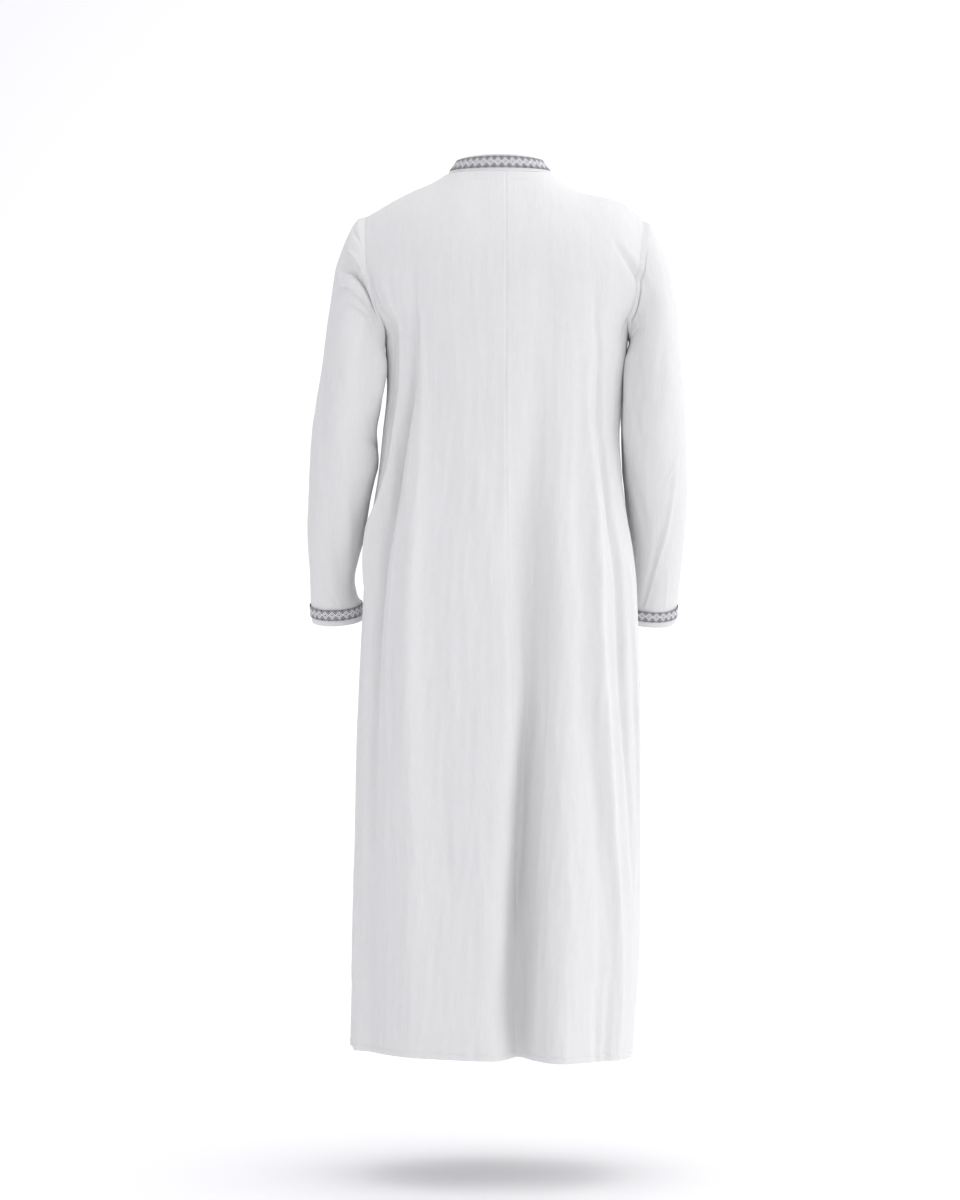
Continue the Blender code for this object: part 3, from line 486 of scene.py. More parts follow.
def body_columns(side, mesh_size):
    """Column angles from the centre line to the side, closer together beside both seams."""
    neck_share = NECK_HALF_WIDTH / (LEFT_ARMHOLE if side > 0 else RIGHT_ARMHOLE).tip_x
    neck_angle = np.degrees(np.arcsin(neck_share ** (ROUNDNESS / 2)))
    by_centre = np.linspace(0, 1, mesh_size["neck"] + 1)
    by_centre = np.sort(np.concatenate([by_centre, CLOSE_TO_SEAM / mesh_size["neck"]]))
    by_side = np.linspace(0, 1, mesh_size["shoulder"] + 1)
    by_side = np.sort(np.concatenate([by_side, 1 - CLOSE_TO_SEAM / mesh_size["shoulder"]]))
    angles = np.concatenate([neck_angle * by_centre[:-1], neck_angle + (90 - neck_angle) * by_side])
    return angles, len(by_centre) - 1


def body_rows(mesh_size):
    climb = (1 - np.cos(np.linspace(0, np.pi, FINE_ARMHOLE_STEPS + 1))) / 2
    drop = PIT_MID_Z - HEM_Z
    even = np.linspace(0, 1 - 0.016 / drop, mesh_size["rows"])[1:]
    return np.concatenate([climb, 1 + even, 2 - CLOSE_TO_HEM[::-1] / drop])


def seam_angle(fall):
    z = np.interp(fall, [0, 1, 2], [0, PIT_MID_Z, HEM_Z])
    places, angles = zip(*SEAM_ANGLE)
    return smooth(places, angles, z)


def quarter(side, front, mesh_size):
    """A quarter of the body, from its centre line to its side seam."""
    fall = body_rows(mesh_size)[:, None]
    columns, neck_column = body_columns(side, mesh_size)
    angle = side * columns[None, :] + 0 * fall
    if front:
        angle = side * 180 - angle
        angle[:, -1] = side * FRONT_SIDE
    else:
        angle = angle + seam_angle(fall) * np.clip(1 - np.abs(angle) / columns[neck_column], 0, 1)
    return body_point(angle, fall)[0], neck_column


def out_from(points, middle, wrap=False):
    across = np.roll(points, -1, 1) - np.roll(points, 1, 1) if wrap else np.gradient(points, axis=1)
    normal = np.cross(across, np.gradient(points, axis=0))
    normal /= np.maximum(np.linalg.norm(normal, axis=-1, keepdims=True), 1e-12)
    return np.where((normal * (points - middle)).sum(-1, keepdims=True) < 0, -normal, normal)


def settled(points, neck_column):
    """The cloth smoothed over the corner that the neck point would otherwise press into it."""
    columns = points.shape[1]
    near = bell(np.arange(columns) - neck_column, NECK_CORNER_COLUMNS)[None, :]
    below = np.clip(run_from(points, 0, 0) / NECK_CORNER_REACH, 0, 1) ** 1.5
    share = (near * below)[:, 1:-1, None]
    for _ in range(NECK_CORNER_PASSES):
        level = (points[:, :-2] + 2 * points[:, 1:-1] + points[:, 2:]) / 4
        points = points.copy()
        points[:, 1:-1] += share * (level - points[:, 1:-1])
    return points


def steadied(normal, z):
    """The facing evened out over the rows that crowd together at the armpit."""
    first, last = FINE_ARMHOLE_STEPS - CROWDED_ABOVE_PIT, FINE_ARMHOLE_STEPS + CROWDED_BELOW_PIT
    way = (z[first] - z[first:last + 1]) / (z[first] - z[last])
    normal[first:last + 1] = normal[first] * (1 - way) + normal[last] * way
    return normal


def body_middle(points):
    middle = np.zeros_like(points)
    middle[..., 2] = np.minimum(points[..., 2] - 0.02, -0.12)
    return middle


def run_from(points, axis, end):
    """How far along the cloth each point lies from one edge of the grid."""
    steps = np.linalg.norm(np.diff(points, axis=axis), axis=-1)
    run = np.concatenate([np.zeros_like(np.take(steps, [0], axis)), np.cumsum(steps, axis)], axis)
    return run if end == 0 else np.take(run, [-1], axis) - run


def fall_from_top(points):
    """How far down the cloth each point lies, leaving out the way its column runs sideways."""
    sideways = np.gradient(points, axis=1)
    sideways = sideways[1:] + sideways[:-1]
    sideways /= np.maximum(np.linalg.norm(sideways, axis=-1, keepdims=True), 1e-12)
    steps = np.diff(points, axis=0)
    steps = steps - (steps * sideways).sum(-1, keepdims=True) * sideways
    fallen = np.cumsum(np.linalg.norm(steps, axis=-1), axis=0)
    return np.concatenate([np.zeros_like(fallen[:1]), fallen])


def sewn_edge(distance, places):
    """The dip beside a seam, drawn up a little unevenly by the thread."""
    drawn_up = 1 + 0.35 * uneven(places * [1, 1, 3], 0.02, 0.05, 40)
    rim = 0.30 * bell(distance - 0.0036, 0.0016)
    return SEAM_DIP * drawn_up * (rim - bell(distance, SEAM_DIP_REACH))


def draped_quarter(side, front, mesh_size):
    """A quarter of the body with its folds, its unevenness, its sewn edges and its hem."""
    points, neck_column = quarter(side, front, mesh_size)
    points = settled(points, neck_column)
    normal = steadied(out_from(points, body_middle(points)), points[..., 2:])
    from_centre, to_side = run_from(points, 1, 0), run_from(points, 1, 1)
    down = fall_from_top(points)
    to_hem = down[-1:] - down
    x, _, z = np.moveaxis(points, -1, 0)
    hangs = np.clip((-0.10 - z) / 0.5, 0, 1)
    calm = 1 - bell(to_side, 0.02)
    lift = np.zeros(z.shape)
    for wave in BODY_UNEVENNESS:
        drift = uneven(points, wave.wide, wave.long, wave.seed)
        lift += (wave.hanging * hangs + wave.all_over) * drift * calm
    lift += LOOSE_SEAM * sewn_edge(to_side, points)
    if not front:
        lift += sewn_edge(from_centre, points)
    lift += np.where(np.arange(points.shape[1]) >= neck_column, 1, 0.6) * sewn_edge(down, points)
    if not front:
        across = before(np.abs(x - FACING_MIDDLE_X) - FACING_HALF_WIDTH, 0.002)
        lift -= FACING_PRESS * across * bell(down - FACING_DEPTH, FACING_PRESS_REACH)
        tucked = before(np.abs(x - TUCK_MIDDLE_X) - TUCK_HALF_WIDTH, 0.0015)
        lift += TUCK_LIFT * tucked * bell(z - TUCK_Z, TUCK_REACH)
    level = points * [1, 1, 0]
    past_hem = to_hem - HEM_TURN_UP
    lift += HEM_LIFT * before(past_hem, HEM_EDGE) * (1 + 0.4 * uneven(level, 0.014, 1, 21))
    lift -= HEM_GROOVE * bell(past_hem, HEM_GROOVE_REACH) * (1 + uneven(level, 0.010, 1, 22))
    return points + lift[..., None] * normal, from_centre, down, normal


def cells(grid):
    """The four corners of every cell of a grid."""
    return np.stack([grid[:-1, :-1], grid[1:, :-1], grid[1:, 1:], grid[:-1, 1:]], axis=2)


def placed(name, data):
    made = bpy.data.objects.new(name, data)
    bpy.context.scene.collection.objects.link(made)
    return made


def cloth_mesh(name, points, cloth, across, down, wrap=False, open_cells=(), thickness=CLOTH_THICKNESS):
    """A cloth piece from a grid of points on its outer face. across and down are its flat places."""
    rows, columns = points.shape[:2]
    grid = np.arange(rows * columns).reshape(rows, columns)
    if wrap:
        grid = np.concatenate([grid, grid[:, :1]], axis=1)
        across = np.concatenate([across, across[:, -1:] + (across[:, -1:] - across[:, -2:-1])], axis=1)
        down = np.concatenate([down, down[:, :1]], axis=1)
    corners = cells(grid)
    kept = np.ones(corners.shape[:2], bool)
    for cell in open_cells:
        kept[cell] = False
    mesh = bpy.data.meshes.new(name)
    mesh.from_pydata(points.reshape(-1, 3), [], corners[kept].tolist())
    places = cells(np.stack([across, down], axis=-1))
    flat = mesh.uv_layers.new(name="cut")
    flat.uv.foreach_set("vector", places[kept].astype(np.float32).ravel())
    mesh.shade_smooth()
    mesh.materials.append(cloth)
    number = len(mesh.polygons) // 2
    face = mesh.polygons[number]
    inside = points[min(number // columns, rows - 1)].mean(0) if wrap else np.array([0, 0, face.center.z])
    if (np.array(face.normal) * (np.array(face.center) - inside)).sum() < 0:
        mesh.flip_normals()
    piece = placed(name, mesh)
    thick = piece.modifiers.new("cloth", "SOLIDIFY")
    thick.thickness = thickness
    thick.offset = -1
    return piece


def added(tree, kind, inputs=(), **settings):
    """A new node with its settings, its inputs each set to a value or joined to another node's socket."""
    made = tree.nodes.new(kind)
    for name, value in settings.items():
        setattr(made, name, value)
    for place, value in dict(inputs).items():
        if isinstance(value, bpy.types.NodeSocket):
            tree.links.new(value, made.inputs[place])
        else:
            made.inputs[place].default_value = value
    return made


def math_steps(tree):
    """Shorthand for one Math node: its kind and up to three inputs, each a number or a socket."""
    def step(kind, *inputs):
        return added(tree, "ShaderNodeMath", enumerate(inputs), operation=kind).outputs[0]

    return step


def plain_material(name, colour, roughness):
    made = bpy.data.materials.new(name)
    made.use_nodes = True
    shader = made.node_tree.nodes["Principled BSDF"]
    shader.inputs["Base Color"].default_value = (*colour, 1)
    shader.inputs["Roughness"].default_value = roughness
    shader.inputs["Specular IOR Level"].default_value = 0.25
    return made, shader


def raised_by(tree, shader, height):
    relief = added(tree, "ShaderNodeBump", {"Distance": 1.0, "Height": height})
    tree.links.new(relief.outputs[0], shader.inputs["Normal"])


def flat_place(tree):
    """Where a spot lies on the piece laid flat, and the two lengths of that place."""
    place = added(tree, "ShaderNodeUVMap", uv_map="cut").outputs[0]
    return place, added(tree, "ShaderNodeSeparateXYZ", {0: place}).outputs


def weave(step, lengths, pitch):
    waves = [step("SINE", step("MULTIPLY", lengths[axis], 2 * np.pi / pitch)) for axis in (0, 1)]
    return step("MULTIPLY", *waves)


def slubbed_cotton(name):
    """White cotton with a plain weave, thick and thin threads down it, and short slubs across it."""
    made, shader = plain_material(name, CLOTH_WHITE, 0.88)
    shader.inputs["Sheen Weight"].default_value = 0.08
    shader.inputs["Sheen Roughness"].default_value = 0.5
    tree = made.node_tree
    step = math_steps(tree)
    place, lengths = flat_place(tree)
    tone, height = COTTON_DARKEST, 0.0
    for thread in COTTON_THREADS:
        stretch = added(tree, "ShaderNodeMapping", {
            0: place, "Scale": (thread.across, thread.down, 1),
            "Location": (thread.offset, thread.offset * 0.7, thread.offset)})
        noise = added(tree, "ShaderNodeTexNoise", {
            0: stretch.outputs[0], "Scale": 1, "Detail": thread.detail})
        shown = added(tree, "ShaderNodeMapRange", {
            0: noise.outputs[0], "From Min": thread.low, "From Max": thread.high}).outputs[0]
        tone = step("MULTIPLY_ADD", shown, thread.tone, tone)
        height = step("MULTIPLY_ADD", shown, thread.relief, height)
    dyed = added(tree, "ShaderNodeVectorMath", {0: CLOTH_WHITE, "Scale": tone}, operation="SCALE")
    tree.links.new(dyed.outputs[0], shader.inputs["Base Color"])
    raised_by(tree, shader, step("MULTIPLY_ADD", weave(step, lengths, COTTON_WEAVE), 0.00003, height))
    return made


def running_stitch():
    """The sewing: a line of thread stitches laid along a path, each one a thin rounded grain."""
    tree = bpy.data.node_groups.new("running stitch", "GeometryNodeTree")
    sockets = {}
    for name, kind in (("Path", "NodeSocketGeometry"), ("Stitch length", "NodeSocketFloat"),
                       ("Gap", "NodeSocketFloat"), ("Thread radius", "NodeSocketFloat"),
                       ("Thread", "NodeSocketMaterial")):
        sockets[name] = tree.interface.new_socket(name, in_out="INPUT", socket_type=kind).identifier
    tree.interface.new_socket("Stitches", in_out="OUTPUT", socket_type="NodeSocketGeometry")
    start = tree.nodes.new("NodeGroupInput").outputs
    length, radius = start["Stitch length"], start["Thread radius"]
    step = math_steps(tree)
    path = added(tree, "GeometryNodeMeshToCurve", {0: start["Path"]}).outputs[0]
    even = added(tree, "GeometryNodeResampleCurve", {
        "Curve": path, "Length": step("ADD", length, start["Gap"])}, mode="LENGTH").outputs[0]
    way = tree.nodes.new("GeometryNodeInputTangent").outputs[0]
    turn = added(tree, "FunctionNodeAlignRotationToVector", {"Vector": way}, axis="X").outputs[0]
    grain = added(tree, "GeometryNodeMeshUVSphere", {"Segments": 6, "Rings": 4}).outputs[0]
    size = added(tree, "ShaderNodeCombineXYZ", {
        0: step("MULTIPLY", length, 0.5), 1: radius, 2: radius}).outputs[0]
    laid = added(tree, "GeometryNodeInstanceOnPoints", {
        "Points": even, "Instance": grain, "Rotation": turn, "Scale": size}).outputs[0]
    real = added(tree, "GeometryNodeRealizeInstances", {0: laid}).outputs[0]
    smoothed = added(tree, "GeometryNodeSetShadeSmooth", {0: real}).outputs[0]
    dyed = added(tree, "GeometryNodeSetMaterial", {0: smoothed, "Material": start["Thread"]}).outputs[0]
    added(tree, "NodeGroupOutput", {0: dyed})
    return tree, sockets


stitch_tree, stitch_sockets = running_stitch()
white_thread, _ = plain_material("white thread", (0.74, 0.74, 0.755), 0.7)


def sew(name, paths, thread, slot, length=0.0024, gap=0.0007, radius=0.00022):
    """Lines of stitches along paths of points, each path already at the height where the thread lies."""
    mesh = bpy.data.meshes.new(name)
    points = np.concatenate(paths)
    starts = np.cumsum([0] + [len(path) for path in paths])
    edges = [(i, i + 1) for a, b in zip(starts[:-1], starts[1:]) for i in range(a, b - 1)]
    mesh.from_pydata(points, edges, [])
    line = placed(name + "_path", mesh)
    sewing = line.modifiers.new("sewing", "NODES")
    sewing.node_group = stitch_tree
    sizes = {"Stitch length": length, "Gap": gap, "Thread radius": radius, "Thread": thread}
    for key, value in sizes.items():
        sewing[stitch_sockets[key]] = value
    made = bpy.data.meshes.new_from_object(line.evaluated_get(bpy.context.evaluated_depsgraph_get()))
    bpy.data.objects.remove(line)
    stitches = placed(name, made)
    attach(stitches, "root")


def line_at(points, facing, run, at):
    """Where a thread lies on the cloth: the line at one distance of run, which grows or shrinks down it."""
    line = []
    for j in range(points.shape[1]):
        order = np.argsort(run[:, j])
        spot = [np.interp(at, run[order, j], points[order, j, axis]) for axis in range(3)]
        out = [np.interp(at, run[order, j], facing[order, j, axis]) for axis in range(3)]
        line.append(np.array(spot) + THREAD_LIFT * np.array(out))
    return np.array(line)


white_cotton = slubbed_cotton("white slubbed cotton")
for side, name in ((1, "left"), (-1, "right")):
    points, across, down, facing = draped_quarter(side, False, BACK_MESH)
    panel = cloth_mesh(f"back_{name}_panel", points, white_cotton, side * across, down)
    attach(panel, "root")
    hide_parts(f"back_{name}")
    hem_line = line_at(points, facing, run_from(points, 0, 1), HEM_TURN_UP - HEM_STITCH_INSET)
    facing_line = line_at(points, facing, down, FACING_DEPTH)
    facing_line = facing_line[np.abs(facing_line[:, 0] - FACING_MIDDLE_X) < FACING_HALF_WIDTH]
    sew(f"back_{name}_stitches", [hem_line, facing_line], white_thread, "cloth")

# The front. One wide panel of the same cotton, plain but for a slit that runs down from the neckline so
# that the garment goes over the head. It is sewn to the back at the shoulders and down both sides.
FRONT_MESH = {"rows": 165, "neck": 18, "shoulder": 46}
SLIT_LOW_Z = -0.3225
SLIT_HALF_WIDTH = 0.0006
left_half, right_half = (draped_quarter(side, True, FRONT_MESH) for side in (1, -1))
left_half[0][:, 0, 0] = SLIT_HALF_WIDTH
right_half[0][:, 0, 0] = -SLIT_HALF_WIDTH
front_points, front_across, front_down, front_facing = (
    np.concatenate([sign * right[:, ::-1], left], axis=1)
    for sign, right, left in zip((1, -1, 1, 1), right_half, left_half)
)
middle_column = right_half[0].shape[1] - 1
slit = [(row, middle_column) for row in range(len(front_points) - 1)
        if front_points[row + 1, middle_column, 2] > SLIT_LOW_Z]
front_panel = cloth_mesh("front_panel", front_points, white_cotton, front_across, front_down,
                         open_cells=slit)
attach(front_panel, "root")
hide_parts("front")
front_hem_line = line_at(front_points, front_facing, run_from(front_points, 0, 1),
                         HEM_TURN_UP - HEM_STITCH_INSET)
sew("front_stitches", [front_hem_line], white_thread, "cloth")

# The sleeves. Long tubes of the same cotton, set into the armholes with a little ease at the cap and
# hemmed at the wrist. Each is a row of rings: the outer and inner points are its outline from behind, y is
# its middle, depth half its front-to-back size, and lean tips its back edge down.
Ring = namedtuple("Ring", "outer_x outer_z inner_x inner_z y depth lean")
LEFT_SLEEVE = table(Ring,
    (0.2144, -0.069, 0.1838, -0.272, 0.000, 0.0580, 0.00),
    (0.2290, -0.075, 0.1858, -0.274, 0.000, 0.0588, 0.00),
    (0.2460, -0.104, 0.1872, -0.276, 0.000, 0.0615, 0.00),
    (0.2620, -0.150, 0.1880, -0.280, 0.000, 0.0655, 0.00),
    (0.2720, -0.212, 0.1880, -0.289, 0.001, 0.0700, 0.00),
    (0.2800, -0.270, 0.1874, -0.306, 0.002, 0.0735, 0.00),
    (0.2860, -0.322, 0.1868, -0.334, 0.004, 0.0735, 0.00),
    (0.2935, -0.366, 0.1905, -0.372, 0.006, 0.0720, 0.02),
    (0.3000, -0.410, 0.1965, -0.412, 0.006, 0.0700, 0.04),
    (0.3045, -0.474, 0.1950, -0.466, -0.004, 0.0670, 0.08),
    (0.3080, -0.533, 0.2070, -0.525, -0.016, 0.0620, 0.15),
    (0.3095, -0.585, 0.2195, -0.586, -0.032, 0.0560, 0.20),
    (0.3070, -0.638, 0.2335, -0.640, -0.052, 0.0490, 0.24),
    (0.3065, -0.674, 0.2310, -0.674, -0.064, 0.0440, 0.26),
    (0.3060, -0.690, 0.2245, -0.687, -0.069, 0.0420, 0.26),
    (0.3045, -0.715, 0.2215, -0.711, -0.077, 0.0415, 0.26),
)
RIGHT_SLEEVE = table(Ring,
    (0.2220, -0.076, 0.2055, -0.262, 0.000, 0.0580, 0.00),
    (0.2360, -0.083, 0.2075, -0.264, 0.000, 0.0585, 0.00),
    (0.2545, -0.110, 0.2085, -0.266, 0.000, 0.0608, 0.00),
    (0.2700, -0.148, 0.2085, -0.271, 0.000, 0.0645, 0.00),
    (0.2810, -0.205, 0.2078, -0.281, 0.000, 0.0690, 0.00),
    (0.2875, -0.270, 0.2062, -0.298, 0.000, 0.0735, 0.00),
    (0.2920, -0.325, 0.2035, -0.332, 0.000, 0.0735, 0.00),
    (0.2955, -0.370, 0.2005, -0.370, -0.002, 0.0720, 0.02),
    (0.2980, -0.410, 0.1965, -0.414, -0.006, 0.0700, 0.06),
    (0.3000, -0.474, 0.1970, -0.475, -0.020, 0.0660, 0.14),
    (0.3010, -0.533, 0.2030, -0.528, -0.040, 0.0600, 0.22),
    (0.2975, -0.590, 0.2085, -0.585, -0.060, 0.0550, 0.28),
    (0.2935, -0.640, 0.2100, -0.636, -0.078, 0.0490, 0.30),
    (0.2900, -0.680, 0.2085, -0.675, -0.090, 0.0440, 0.30),
    (0.2885, -0.693, 0.2070, -0.690, -0.094, 0.0425, 0.30),
    (0.2875, -0.716, 0.2055, -0.712, -0.101, 0.0415, 0.30),
)

# Each crease runs between two places, given as angle and ring: drag lines from the cap to the armpit, soft
# folds round the elbow, and long slanting ones down the forearm.
SLEEVE_CREASES = {
    1: table(Crease,
        ((152, 0.4), (148, 3.6), (149, 7.2), 0.0165, 0.0190),
        ((150, 0.0), (150, 1.6), (150, 3.4), 0.0120, 0.0080),
        ((38, 2.9), (78, 2.0), (118, 1.0), 0.0058, -0.0125),
        ((36, 2.35), (62, 1.8), (92, 1.1), 0.0042, 0.0060),
        ((44, 3.4), (84, 2.9), (122, 1.6), 0.0034, 0.0055),
        ((66, 3.6), (96, 3.2), (124, 2.2), 0.0034, 0.0040),
        ((20, 1.5), (40, 1.3), (58, 0.7), 0.0040, -0.0022),
        ((20, 4.6), (40, 6.8), (60, 9.2), 0.0110, -0.0035),
        ((60, 9.2), (80, 10.2), (112, 11.8), 0.0090, -0.0035),
        ((84, 7.8), (104, 10.0), (140, 12.2), 0.0100, 0.0030),
        ((180, 9.4), (168, 10.6), (150, 12.4), 0.0090, -0.0060),
        ((182, 8.6), (158, 8.2), (134, 8.3), 0.0050, -0.0035),
        ((150, 9.0), (128, 9.4), (108, 9.2), 0.0070, 0.0020),
        ((60, 11.0), (74, 12.0), (96, 13.0), 0.0060, -0.0016),
        ((340, 3.0), (300, 2.2), (246, 1.4), 0.0070, -0.0060),
        ((330, 4.2), (296, 3.2), (250, 2.4), 0.0050, 0.0026),
        ((300, 7.6), (262, 8.0), (214, 7.8), 0.0080, -0.0055),
        ((310, 8.8), (268, 9.0), (216, 8.7), 0.0070, 0.0030),
        ((320, 9.6), (270, 9.8), (222, 9.9), 0.0080, -0.0045),
        ((300, 11.0), (260, 11.8), (220, 12.4), 0.0090, -0.0035),
    ),
    -1: table(Crease,
        ((206, 0.2), (212, 4.6), (212, 9.0), 0.0160, 0.0170),
        ((158, 0.6), (158, 4.4), (154, 8.4), 0.0150, 0.0125),
        ((100, 1.0), (118, 1.6), (150, 1.2), 0.0060, -0.0050),
        ((60, 0.9), (88, 1.1), (112, 1.3), 0.0050, -0.0030),
        ((124, 3.2), (138, 2.2), (160, 1.0), 0.0040, 0.0024),
        ((120, 3.8), (136, 3.0), (158, 2.0), 0.0045, -0.0028),
        ((46, 8.6), (60, 8.8), (76, 9.3), 0.0030, 0.0022),
        ((52, 8.8), (66, 10.2), (98, 11.8), 0.0050, 0.0034),
        ((84, 10.4), (100, 11.4), (116, 13.0), 0.0060, -0.0042),
        ((96, 11.6), (106, 12.4), (112, 13.4), 0.0040, 0.0018),
        ((138, 7.0), (126, 7.8), (116, 8.4), 0.0060, -0.0022),
        ((140, 9.0), (124, 9.6), (112, 10.6), 0.0080, -0.0030),
        ((66, 11.6), (62, 12.6), (64, 13.4), 0.0035, 0.0018),
        ((70, 4.2), (84, 5.8), (92, 7.4), 0.0100, -0.0018),
        ((340, 3.0), (300, 2.2), (246, 1.4), 0.0070, -0.0060),
        ((332, 4.4), (296, 3.4), (250, 2.6), 0.0050, 0.0026),
        ((304, 7.8), (264, 8.2), (212, 7.9), 0.0080, -0.0055),
        ((312, 9.0), (270, 9.1), (216, 8.9), 0.0070, 0.0030),
        ((318, 9.9), (272, 10.0), (224, 10.2), 0.0080, -0.0045),
        ((302, 11.2), (262, 11.8), (222, 12.6), 0.0090, -0.0035),
    ),
}
SLEEVE_RINGS = 175
CLOSE_TO_ARMHOLE = [0, 0.012, 0.028, 0.05, 0.08, 0.12]
SLEEVE_END_TURN_UP = 0.0095
SLEEVE_END_LIFT, SLEEVE_END_EDGE = 0.0003, 0.0006
CAP_PUCKER, CAP_PUCKER_AT, CAP_PUCKER_REACH = 0.0002, 0.009, 0.006
WRIST_GATHER, WRIST_GATHER_AT, WRIST_GATHER_REACH = 0.0007, 0.036, 0.008
SLEEVE_UNEVENNESS = ((0.0010, 0.060, 0.11, 61), (0.0005, 0.024, 0.06, 71))
SLEEVE_GIRTH = 0.44
ARMHOLE_REACH = 1.6
SLEEVE_CREASES_START_BY = 0.25
LAST_RING = len(LEFT_SLEEVE) - 1
SLEEVE_PER_DEGREE = 0.00105
SLEEVE_PER_RING = 0.047


def sleeve_point(side, ring, angle):
    """The outer face of a sleeve. angle is 0 at its outer edge, 90 at the back and 180 inside."""
    rows = LEFT_SLEEVE if side > 0 else RIGHT_SLEEVE
    ring, angle = np.broadcast_arrays(np.asarray(ring, float), np.asarray(angle, float))
    t = np.radians(angle)

    def oval(at, push):
        places = np.arange(len(rows))
        c = {name: smooth(places, column(rows, name), at) for name in Ring._fields}
        half_x = (c["outer_x"] - c["inner_x"]) / 2
        half_z = (c["outer_z"] - c["inner_z"]) / 2
        grow = 1 + push / np.hypot(half_x, half_z)
        grow_y = 1 + push / c["depth"]
        x = (c["outer_x"] + c["inner_x"]) / 2 + np.cos(t) * half_x * grow
        y = c["y"] + np.sin(t) * c["depth"] * grow_y
        z = (c["outer_z"] + c["inner_z"]) / 2 + np.cos(t) * half_z * grow
        z = z - np.sin(t) * c["lean"] * c["depth"]
        return np.stack([side * x, y, z], axis=-1)

    climb = (1 - np.cos(t)) / 2
    edge = side * np.where(np.sin(t) >= 0, 90.0, FRONT_SIDE)
    armhole = body_point(edge, climb)[0]
    still_armhole = bell(ring, ARMHOLE_REACH)[..., None]
    push = crease_height(SLEEVE_CREASES[side], angle, ring, SLEEVE_PER_DEGREE, SLEEVE_PER_RING)
    push = push * np.clip(ring / SLEEVE_CREASES_START_BY, 0, 1)
    return oval(ring, push) + (armhole - oval(ring * 0, 0.0)) * still_armhole


sleeve_angle = np.linspace(0, 360, 2 * FINE_ARMHOLE_STEPS, endpoint=False)[None, :]
for side, name in ((1, "left"), (-1, "right")):
    ring = np.concatenate([CLOSE_TO_ARMHOLE, np.linspace(0.17, LAST_RING, SLEEVE_RINGS)])[:, None]
    points = sleeve_point(side, ring, sleeve_angle)
    facing = out_from(points, points.mean(axis=1, keepdims=True), wrap=True)
    down, to_end = run_from(points, 0, 0), run_from(points, 0, 1)
    across = np.linspace(0, SLEEVE_GIRTH, points.shape[1])[None, :] + 0 * down
    calm = 1 - 0.8 * bell(down, 0.03)
    lift = sum(most * calm * uneven(points, wide, long, seed + side)
               for most, wide, long, seed in SLEEVE_UNEVENNESS)
    lift += LOOSE_SEAM * sewn_edge(down, points)
    at_cap = np.clip(np.cos(np.radians(sleeve_angle)) + 0.3, 0, 1)
    puckers = 1 + 0.5 * uneven(points, 0.014, 0.014, 33)
    lift += CAP_PUCKER * at_cap * bell(down - CAP_PUCKER_AT, CAP_PUCKER_REACH) * puckers
    gathered = bell(to_end - WRIST_GATHER_AT, WRIST_GATHER_REACH)
    lift += WRIST_GATHER * gathered * uneven(points * [1, 1, 0], 0.010, 1, 35)
    lift += SLEEVE_END_LIFT * before(to_end - SLEEVE_END_TURN_UP, SLEEVE_END_EDGE)
    points = points + lift[..., None] * facing
    sleeve = cloth_mesh(f"sleeve_{name}_tube", points, white_cotton, across, down, wrap=True)
    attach(sleeve, "root")
    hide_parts(f"sleeve_{name}")

# The collar. A stiffened band of the same cotton that stands on the neckline and leans in a little, with
# its ends meeting at the centre front.
COLLAR_HEIGHT = 0.0285
COLLAR_TOP_HALF_WIDTH = 0.0665
COLLAR_TOP_BACK = 0.056
COLLAR_TOP_FRONT = 0.077
COLLAR_FRONT_OPENING = 0.0015
COLLAR_THICKNESS = 0.0018
COLLAR_COLUMNS = 241


def collar_point(turn, up):
    foot = neck_ring(turn)
    top_x, top_y, *_ = round_neck(turn, COLLAR_TOP_HALF_WIDTH, COLLAR_TOP_BACK, COLLAR_TOP_FRONT)
    lean = np.hypot(foot[..., 0] - top_x, foot[..., 1] - top_y)
    top_z = foot[..., 2] + np.sqrt(COLLAR_HEIGHT**2 - lean**2)
    top = np.stack([top_x, top_y, top_z], axis=-1)
    return foot + (top - foot) * np.asarray(up)[..., None]


collar_open = np.degrees(COLLAR_FRONT_OPENING / NECK_HALF_WIDTH)
collar_turn = np.linspace(-180 + collar_open, 180 - collar_open, COLLAR_COLUMNS)
collar_rows = np.concatenate([[0, 0.012, 0.03, 0.06], np.linspace(0.1, 0.94, 14), [0.975, 0.992, 1]])
around, collar_up = np.meshgrid(collar_turn, collar_rows)
collar_points = collar_point(around, collar_up)
collar_facing = out_from(collar_points, collar_points.mean(axis=1, keepdims=True))
collar_lift = sewn_edge(collar_up * COLLAR_HEIGHT, collar_points)
collar_lift -= 0.0007 * bell((1 - collar_up) * COLLAR_HEIGHT, 0.0008)
collar_points = collar_points + collar_lift[..., None] * collar_facing
collar = cloth_mesh("collar_band", collar_points, white_cotton, run_from(collar_points, 1, 0),
                    collar_up * COLLAR_HEIGHT, thickness=COLLAR_THICKNESS)
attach(collar, "root")
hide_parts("collar")

# The tapes. A woven band in white and charcoal, a chain of nested diamonds between two saw-toothed edges,
# sewn flat along the collar and round each sleeve just above its hemmed end.
TAPE_WIDTH = 0.0195
TAPE_THICKNESS = 0.0008
TAPE_REPEAT = 0.0118
TAPE_WHITE = (0.78, 0.78, 0.80, 1)
TAPE_CHARCOAL = (0.022, 0.021, 0.024, 1)
COLLAR_TAPE_FOOT = 0.0055
CUFF_MARGIN = 0.0095
DIAMOND_HALF_HEIGHT = 0.70
TAPE_WEAVE = 0.0007
TAPE_ROWS = 9
TAPE_SEAMS = (0.0009, TAPE_WIDTH - 0.0009)
TAPE_STITCH = {"length": 0.0020, "gap": 0.0010, "radius": 0.00018}
OFF_COLLAR, OFF_SLEEVE = 0.0003 + TAPE_THICKNESS, 0.0014 + TAPE_THICKNESS


